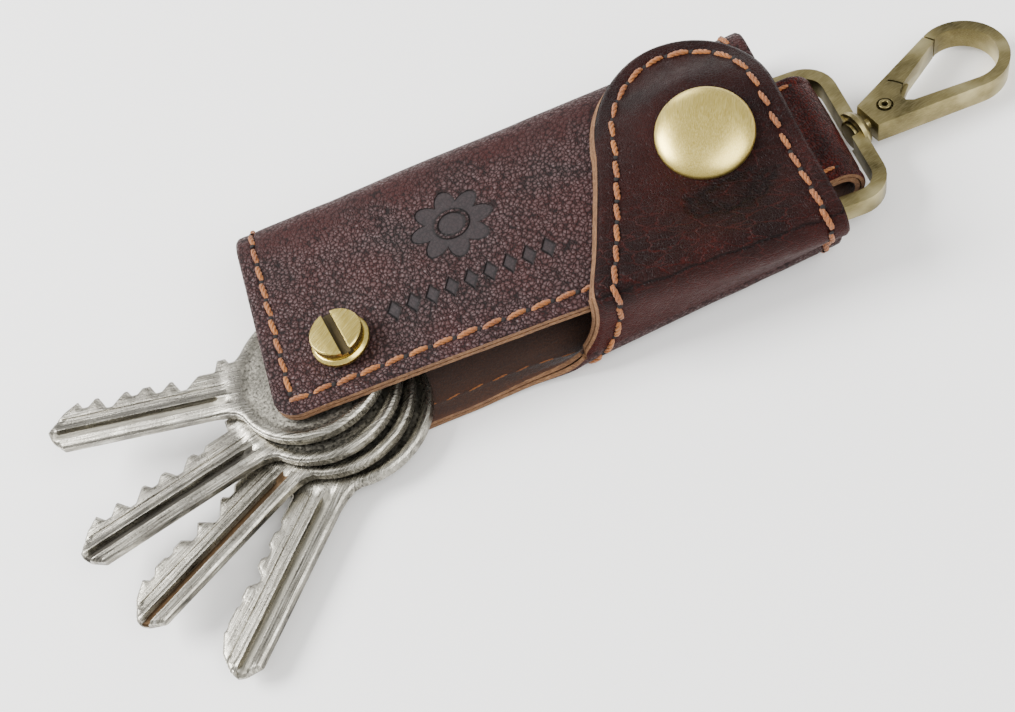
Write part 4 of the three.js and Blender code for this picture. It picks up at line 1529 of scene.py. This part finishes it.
class ORGANISER_OT_leather(bpy.types.Operator):
    """Make the folded strip: outer hide and suede lining of the case, fold and flap"""
    bl_idname = "organiser.make_leather"
    bl_label = "Case and Flap Leather"

    def execute(self, context):
        settings = leather_settings()
        tooled = pebbled_cowhide(settings)
        waxed = waxed_cowhide(settings)
        edge_finish = raw_edge(settings)
        suede = split_suede(settings)
        edge, flat, groups = strip_layers()

        def hide_spot(x, along):
            d = edge.distance(x, along)
            worn = 0.36 * (1 - smooth(0, 0.6, d)) ** 1.6
            near = worn + 0.26 * math.exp(-((d - STITCH_INSET) / 0.5) ** 2)
            return lie(x, along, near)[0], lie(x, along, GRAIN - 0.02 * (1 - smooth(0, 0.4, d)))[0]

        def lining_spot(x, along):
            d = edge.distance(x, along)
            worn = 0.28 * (1 - smooth(0, 0.5, d)) ** 1.6
            far = LEATHER - worn - 0.14 * math.exp(-((d - STITCH_INSET) / 0.4) ** 2)
            rough = 0.05 * wander(x, along, 0, 0.9, 2.0) + 0.04 * wander(x, along, 0, 0.35, 4.0)
            return lie(x, along, GRAIN + GLUE_GAP)[0], lie(x, along, far + rough)[0]

        for name, members in groups.items():
            outer = {"case": tooled, "fold": waxed, "flap": waxed}[name]
            hide_faces = [f for f, in_flange in members if not in_flange]
            materials = [outer, edge_finish, edge_finish]
            piece = slab(name + "_outer_hide", flat, hide_faces, hide_spot, materials, sharp=60)
            ride_strip(piece, name)
            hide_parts(name + "_grain_leather")
            lining = slab(name + "_lining", flat, [f for f, _ in members], lining_spot,
                          [edge_finish, suede, edge_finish], sharp=60)
            ride_strip(lining, name)
            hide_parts(name + "_suede_lining")
        return {"FINISHED"}


class ORGANISER_OT_stitches(bpy.types.Operator):
    """Sew the strip all round, outside and inside"""
    bl_idname = "organiser.make_stitches"
    bl_label = "Stitching"

    def execute(self, context):
        sizes = stitch_settings()
        both = Mixed(sizes, leather_settings())
        thread = waxed_thread(both)
        tree = stitch_tree(thread, awl_hole(both))
        path = strip_edge().inset(STITCH_INSET)

        def outside(x, along):
            spot, out = lie(x, along, 0.02)
            return spot, out

        def inside(x, along):
            spot, out = lie(x, along, LEATHER - 0.17)
            return spot, -out

        stretches = (("case", 0, SEAM_LOW), ("fold", SEAM_LOW, SEAM_MID), ("flap", SEAM_MID, 999))
        for side, place, strand, dip in (("outer", outside, 1.0, 0.42), ("inner", inside, 0.36, 0.22)):
            spots = seam_spots(path, sizes.pitch / MM, place)
            for name, low, high in stretches:
                mine = [s[:3] for s in spots if low <= s[3][1] < high]
                if not mine:
                    continue
                piece = sew(f"{name}_stitches_{side}", tree, mine, {
                    "Length": sizes.length, "Strand Radius": sizes.strand * strand,
                    "Twist Radius": sizes.strand * 1.05 * strand, "Turns": sizes.turns,
                    "Dip": dip * MM, "Slant": math.radians(7),
                })
                ride_strip(piece, name)
        return {"FINISHED"}


def darken_slot(piece, slot_shade):
    """Give the walls and floor of the screw's slot a material of painted shade."""
    mesh = piece.data
    mesh.materials.append(slot_shade)
    top = max(v.co.z for v in mesh.vertices) / MM
    turn = Matrix.Rotation(math.radians(-SLOT_ANGLE), 3, "Z")
    for polygon in mesh.polygons:
        spot = turn @ polygon.center / MM
        if abs(spot.y) < 0.77 and top - 1.1 < spot.z < top - 0.16:
            polygon.material_index = 1


class ORGANISER_OT_screw(bpy.types.Operator):
    """Finish the binding screw, its washer and its post"""
    bl_idname = "organiser.make_screw"
    bl_label = "Binding Screw"

    def execute(self, context):
        settings = metal_settings()
        satin = brushed_brass(settings, "lathe_turned_brass", math.radians(35), 0.003, (0.22, 0.3))
        # The slot's walls and floor get painted shade, so the slot shows its depth.
        slot_shade = groove_tarnish_and_shade("slot_tarnish", settings.slot, math.radians(SLOT_ANGLE))
        for node_name, name in (("binding_screw", "screw_head"), ("screw_washer", "screw_ring")):
            piece = finished(node_name, name, satin, 0.12)
            if node_name == "binding_screw":
                darken_slot(piece, slot_shade)
            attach(piece, "case")
            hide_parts(node_name)
        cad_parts["screw_post"].data.materials[0] = satin
        return {"FINISHED"}


class ORGANISER_OT_snap(bpy.types.Operator):
    """Make the domed snap cap and finish the snap's other parts"""
    bl_idname = "organiser.make_snap"
    bl_label = "Snap Fastener"

    def execute(self, context):
        settings = metal_settings()
        # The cap is brushed across the case, a little off square.
        satin = brushed_brass(settings, "satin_brushed_brass_plate", math.radians(64))
        rim = stack_at(SNAP[0]) + FLAP_GAP + LEATHER + 0.2 + CAP_LIFT
        profile = [(0, rim - 0.6), (CAP_RADIUS - 0.7, rim - 0.6), (CAP_RADIUS - 0.2, rim - 0.4)]
        for i in range(33):
            angle = math.pi / 2 * i / 32
            radius = CAP_RADIUS * math.cos(angle) ** 0.8
            profile.append((radius, rim + CAP_DOME * math.sin(angle) ** 1.15))
        cap = lathe("snap_dome", profile, SNAP, satin)
        lean = Matrix.Rotation(math.radians(CAP_TILT), 4, "X")
        middle = Matrix.Translation(Vector((*SNAP, rim)) * MM)
        cap.data.transform(middle @ lean @ middle.inverted())
        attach(cap, "flap")
        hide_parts("snap_cap")
        steel = nickel_silver(settings, "plated_spring_steel", 0.0, settings.nickel_dark)
        for node_name, body in (("snap_socket", "flap"), ("snap_stud", "case"), ("snap_post", "case")):
            piece = finished(node_name, node_name.replace("snap", "fastener"), steel, 0.12, 2)
            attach(piece, body)
            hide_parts(node_name)
        return {"FINISHED"}


class ORGANISER_OT_keys(bpy.types.Operator):
    """Make the four keys with rimmed bows, milled blades and cuts"""
    bl_idname = "organiser.make_keys"
    bl_label = "Keys"

    def execute(self, context):
        settings = metal_settings()
        cast = cast_nickel(settings)
        grime = ("#8b877b", "#3c3933", "#46341f", "#9b978a")
        tones = ("#6f6c66", "#5f5c57", "#77736a", "#97948b")
        for place, (name, turn, cuts) in enumerate(KEYS):
            angle = math.radians(turn)
            stain = linear(tones[place])
            milled = nickel_silver(settings, f"milled_nickel_silver_{place + 1}", angle, stain)
            groove = groove_tarnish_and_shade(f"groove_tarnish_{place + 1}", linear(grime[place]), angle)
            piece = key_mesh(place, name, turn, cuts, [milled, cast, milled, groove])
            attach(piece, name)
            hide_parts(name)
        return {"FINISHED"}


class ORGANISER_OT_tab(bpy.types.Operator):
    """Make the tab loop with its lining and stitching"""
    bl_idname = "organiser.make_tab"
    bl_label = "Tab Loop"

    def execute(self, context):
        settings = leather_settings()
        scales = lizard_embossed_hide(settings)
        edge_finish = raw_edge(settings)
        suede = split_suede(settings)
        straight = TAB_END - TAB_HALF - TAB_FROM
        total = 2 * straight + math.pi * TAB_HALF
        width = TAB_HIGH - TAB_LOW
        box = [(0, 0), (total, 0), (total, width), (0, width)]
        edge = Edge(even(box, 0.6))
        flat, faces = tessellate(edge, (0.12, 0.3, 0.6, 1.2, 1.6, 1.9, 2.2, 2.6), 1.0)
        centre = TAB_END - TAB_HALF

        def loop_spot(q, depth):
            radius = TAB_HALF - depth
            if q < straight:
                return Vector((TAB_FROM + q, TAB_MID_Z - radius)), Vector((0, -1))
            if q < straight + math.pi * TAB_HALF:
                angle = (q - straight) / TAB_HALF - math.pi / 2
                out = Vector((math.cos(angle), math.sin(angle)))
                return Vector((centre, TAB_MID_Z)) + out * radius, out
            return Vector((TAB_FROM + total - q, TAB_MID_Z + radius)), Vector((0, 1))

        def lay(q, v, depth):
            xz = loop_spot(q, depth)[0]
            return Vector((xz.x, TAB_LOW + v, xz.y))

        def groove(v):
            return math.exp(-((min(v, width - v) - 1.9) / 0.45) ** 2)

        def hide_spot(q, v):
            d = min(v, width - v)
            near = 0.3 * (1 - smooth(0, 0.5, d)) ** 1.6 + 0.18 * groove(v) + 0.08 * wander(q, v, 0, 6, 1)
            return lay(q, v, near), lay(q, v, TAB_GRAIN)

        def lining_spot(q, v):
            near = TAB_GRAIN + TAB_GAP
            return lay(q, v, near), lay(q, v, near + TAB_LINING - 0.1 * groove(v))

        layers = (
            (
                "tab_outer_hide", hide_spot, [scales, edge_finish, edge_finish],
                "tab_grain_leather", "tab",
            ),
            ("tab_lining", lining_spot, [edge_finish, suede, edge_finish], "tab_suede_lining", "suede"),
        )
        for name, place, materials, node_name, slot in layers:
            piece = slab(name, flat, faces, place, materials, sharp=60)
            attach(piece, "case")
            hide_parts(node_name)
        sizes = stitch_settings()
        both = Mixed(sizes, settings)
        tree = bpy.data.node_groups.get("Saddle stitches")
        if tree is None:
            tree = stitch_tree(waxed_thread(both), awl_hole(both))
        spots = []
        for v in (1.9, width - 1.9):
            for k in range(int(straight / 3.6)):
                for q in (straight - 1.4 - 3.6 * k, total - straight + 1.4 + 3.6 * k):
                    xz, out = loop_spot(q, 0.05)
                    spot = Vector((xz.x, TAB_LOW + v, xz.y))
                    spots.append((spot, Vector((1, 0, 0)), Vector((0, 0, out.y))))
        piece = sew("tab_stitches", tree, spots, {
            "Length": 2.9 * MM, "Strand Radius": sizes.strand * 0.8, "Twist Radius": sizes.strand * 0.8,
            "Turns": sizes.turns, "Dip": 0.35 * MM, "Slant": math.radians(7),
        })
        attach(piece, "case")
        return {"FINISHED"}


class ORGANISER_OT_hook(bpy.types.Operator):
    """Finish the swivel bail, the hook, its gate and its rivet"""
    bl_idname = "organiser.make_hook"
    bl_label = "Swivel Hook"

    def execute(self, context):
        plate = antique_brass(metal_settings())
        rows = (
            ("swivel_bail", "bail_ring", "bail", 0.85, 4),
            ("hook_frame", "hook_casting", "hook", 0.62, 4),
            ("hook_gate", "gate_lever", "gate", 0.35, 3),
            ("gate_rivet", "gate_pin", "hook", 0.12, 2),
        )
        for node_name, name, body, bevel, segments in rows:
            piece = finished(node_name, name, plate, bevel, segments)
            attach(piece, body)
            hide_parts(node_name)
        return {"FINISHED"}


class ORGANISER_OT_stage(bpy.types.Operator):
    """Set up the floor, soft light and camera"""
    bl_idname = "organiser.make_stage"
    bl_label = "Stage"

    def execute(self, context):
        scene = context.scene
        settings = scene.organiser_stage
        material, tree, shader = surface("matt_pale_paper", Roughness=0.9)
        fleck = node(
            tree, "ShaderNodeTexNoise",
            {"Vector": place_pattern(tree), "Scale": per(40.0), **SOFT_NOISE},
        )
        feed(
            tree, shader,
            Base_Color=node(
                tree, "ShaderNodeMix",
                {
                    0: node(tree, "ShaderNodeMapRange", (fleck, 0.3, 0.7, 0.0, 0.05)),
                    6: settings.floor, 7: linear("#ffffff"),
                },
                data_type="RGBA",
            ).outputs[2],
        )
        half = 2500
        floor = build("floor", [(-half, -half, -0.02), (half, -half, -0.02), (half, half, -0.02),
                                (-half, half, -0.02)], [(0, 1, 2, 3)], [material])
        world = bpy.data.worlds.new("Soft sky")
        world.use_nodes = True
        sky = world.node_tree.nodes["Background"]
        sky.inputs["Color"].default_value = (1.0, 1.0, 1.0, 1)
        sky.inputs["Strength"].default_value = settings.world
        scene.world = world
        lights = (
            ("Key softbox", (-0.52, 0.22, 0.52), 0.42, settings.key_power * 13.0),
            ("Fill softbox", (0.40, -0.45, 0.60), 0.60, settings.key_power * 7.0),
            ("Back strip", (0.10, 0.62, 0.22), 0.22, settings.key_power * 0.7),
        )
        for name, place, size, power in lights:
            data = bpy.data.lights.new(name, "AREA")
            data.shape = "SQUARE"
            data.size = size
            data.energy = power
            lamp = bpy.data.objects.new(name, data)
            scene.collection.objects.link(lamp)
            lamp.location = place
            aim = Vector((0.035, 0.008, 0.01)) - Vector(place)
            lamp.rotation_euler = aim.to_track_quat("-Z", "Y").to_euler()
        data = bpy.data.cameras.new("Camera")
        data.lens = settings.lens
        data.sensor_width = 36
        data.clip_start = 0.01
        camera = bpy.data.objects.new("Camera", data)
        scene.collection.objects.link(camera)
        camera.matrix_world = Matrix((
            (0.9226, 0.3810, 0.0608, 0.0370),
            (-0.2822, 0.7738, -0.5671, -0.14225),
            (-0.2632, 0.5060, 0.8214, 0.19989),
            (0, 0, 0, 1),
        ))
        scene.camera = camera
        return {"FINISHED"}


class ORGANISER_PT_panel(bpy.types.Panel):
    """Sizes, colours and the steps that make the organiser"""
    bl_idname = "ORGANISER_PT_panel"
    bl_label = "Key Organiser"
    bl_space_type = "VIEW_3D"
    bl_region_type = "UI"
    bl_category = "Key Organiser"

    def draw(self, context):
        layout = self.layout
        for operator in STEPS:
            layout.operator(operator.bl_idname)
        for name in GROUPS:
            box = layout.box()
            group = getattr(context.scene, name)
            for key in group.__annotations__:
                box.prop(group, key)


STEPS = (
    ORGANISER_OT_stage, ORGANISER_OT_leather, ORGANISER_OT_stitches, ORGANISER_OT_screw,
    ORGANISER_OT_snap, ORGANISER_OT_keys, ORGANISER_OT_tab, ORGANISER_OT_hook,
)
GROUPS = {
    "organiser_leather": LeatherSettings,
    "organiser_stitches": StitchSettings,
    "organiser_metal": MetalSettings,
    "organiser_stage": StageSettings,
}


def register():
    for group in GROUPS.values():
        bpy.utils.register_class(group)
    for operator in (*STEPS, ORGANISER_PT_panel):
        bpy.utils.register_class(operator)
    for name, group in GROUPS.items():
        setattr(bpy.types.Scene, name, PointerProperty(type=group))


def unregister():
    for name in GROUPS:
        delattr(bpy.types.Scene, name)
    for operator in reversed((*STEPS, ORGANISER_PT_panel)):
        bpy.utils.unregister_class(operator)
    for group in reversed(GROUPS.values()):
        bpy.utils.unregister_class(group)


def main():
    register()
    for step in STEPS:
        group, name = step.bl_idname.split(".")
        getattr(getattr(bpy.ops, group), name)()


if __name__ == "__main__":
    main()
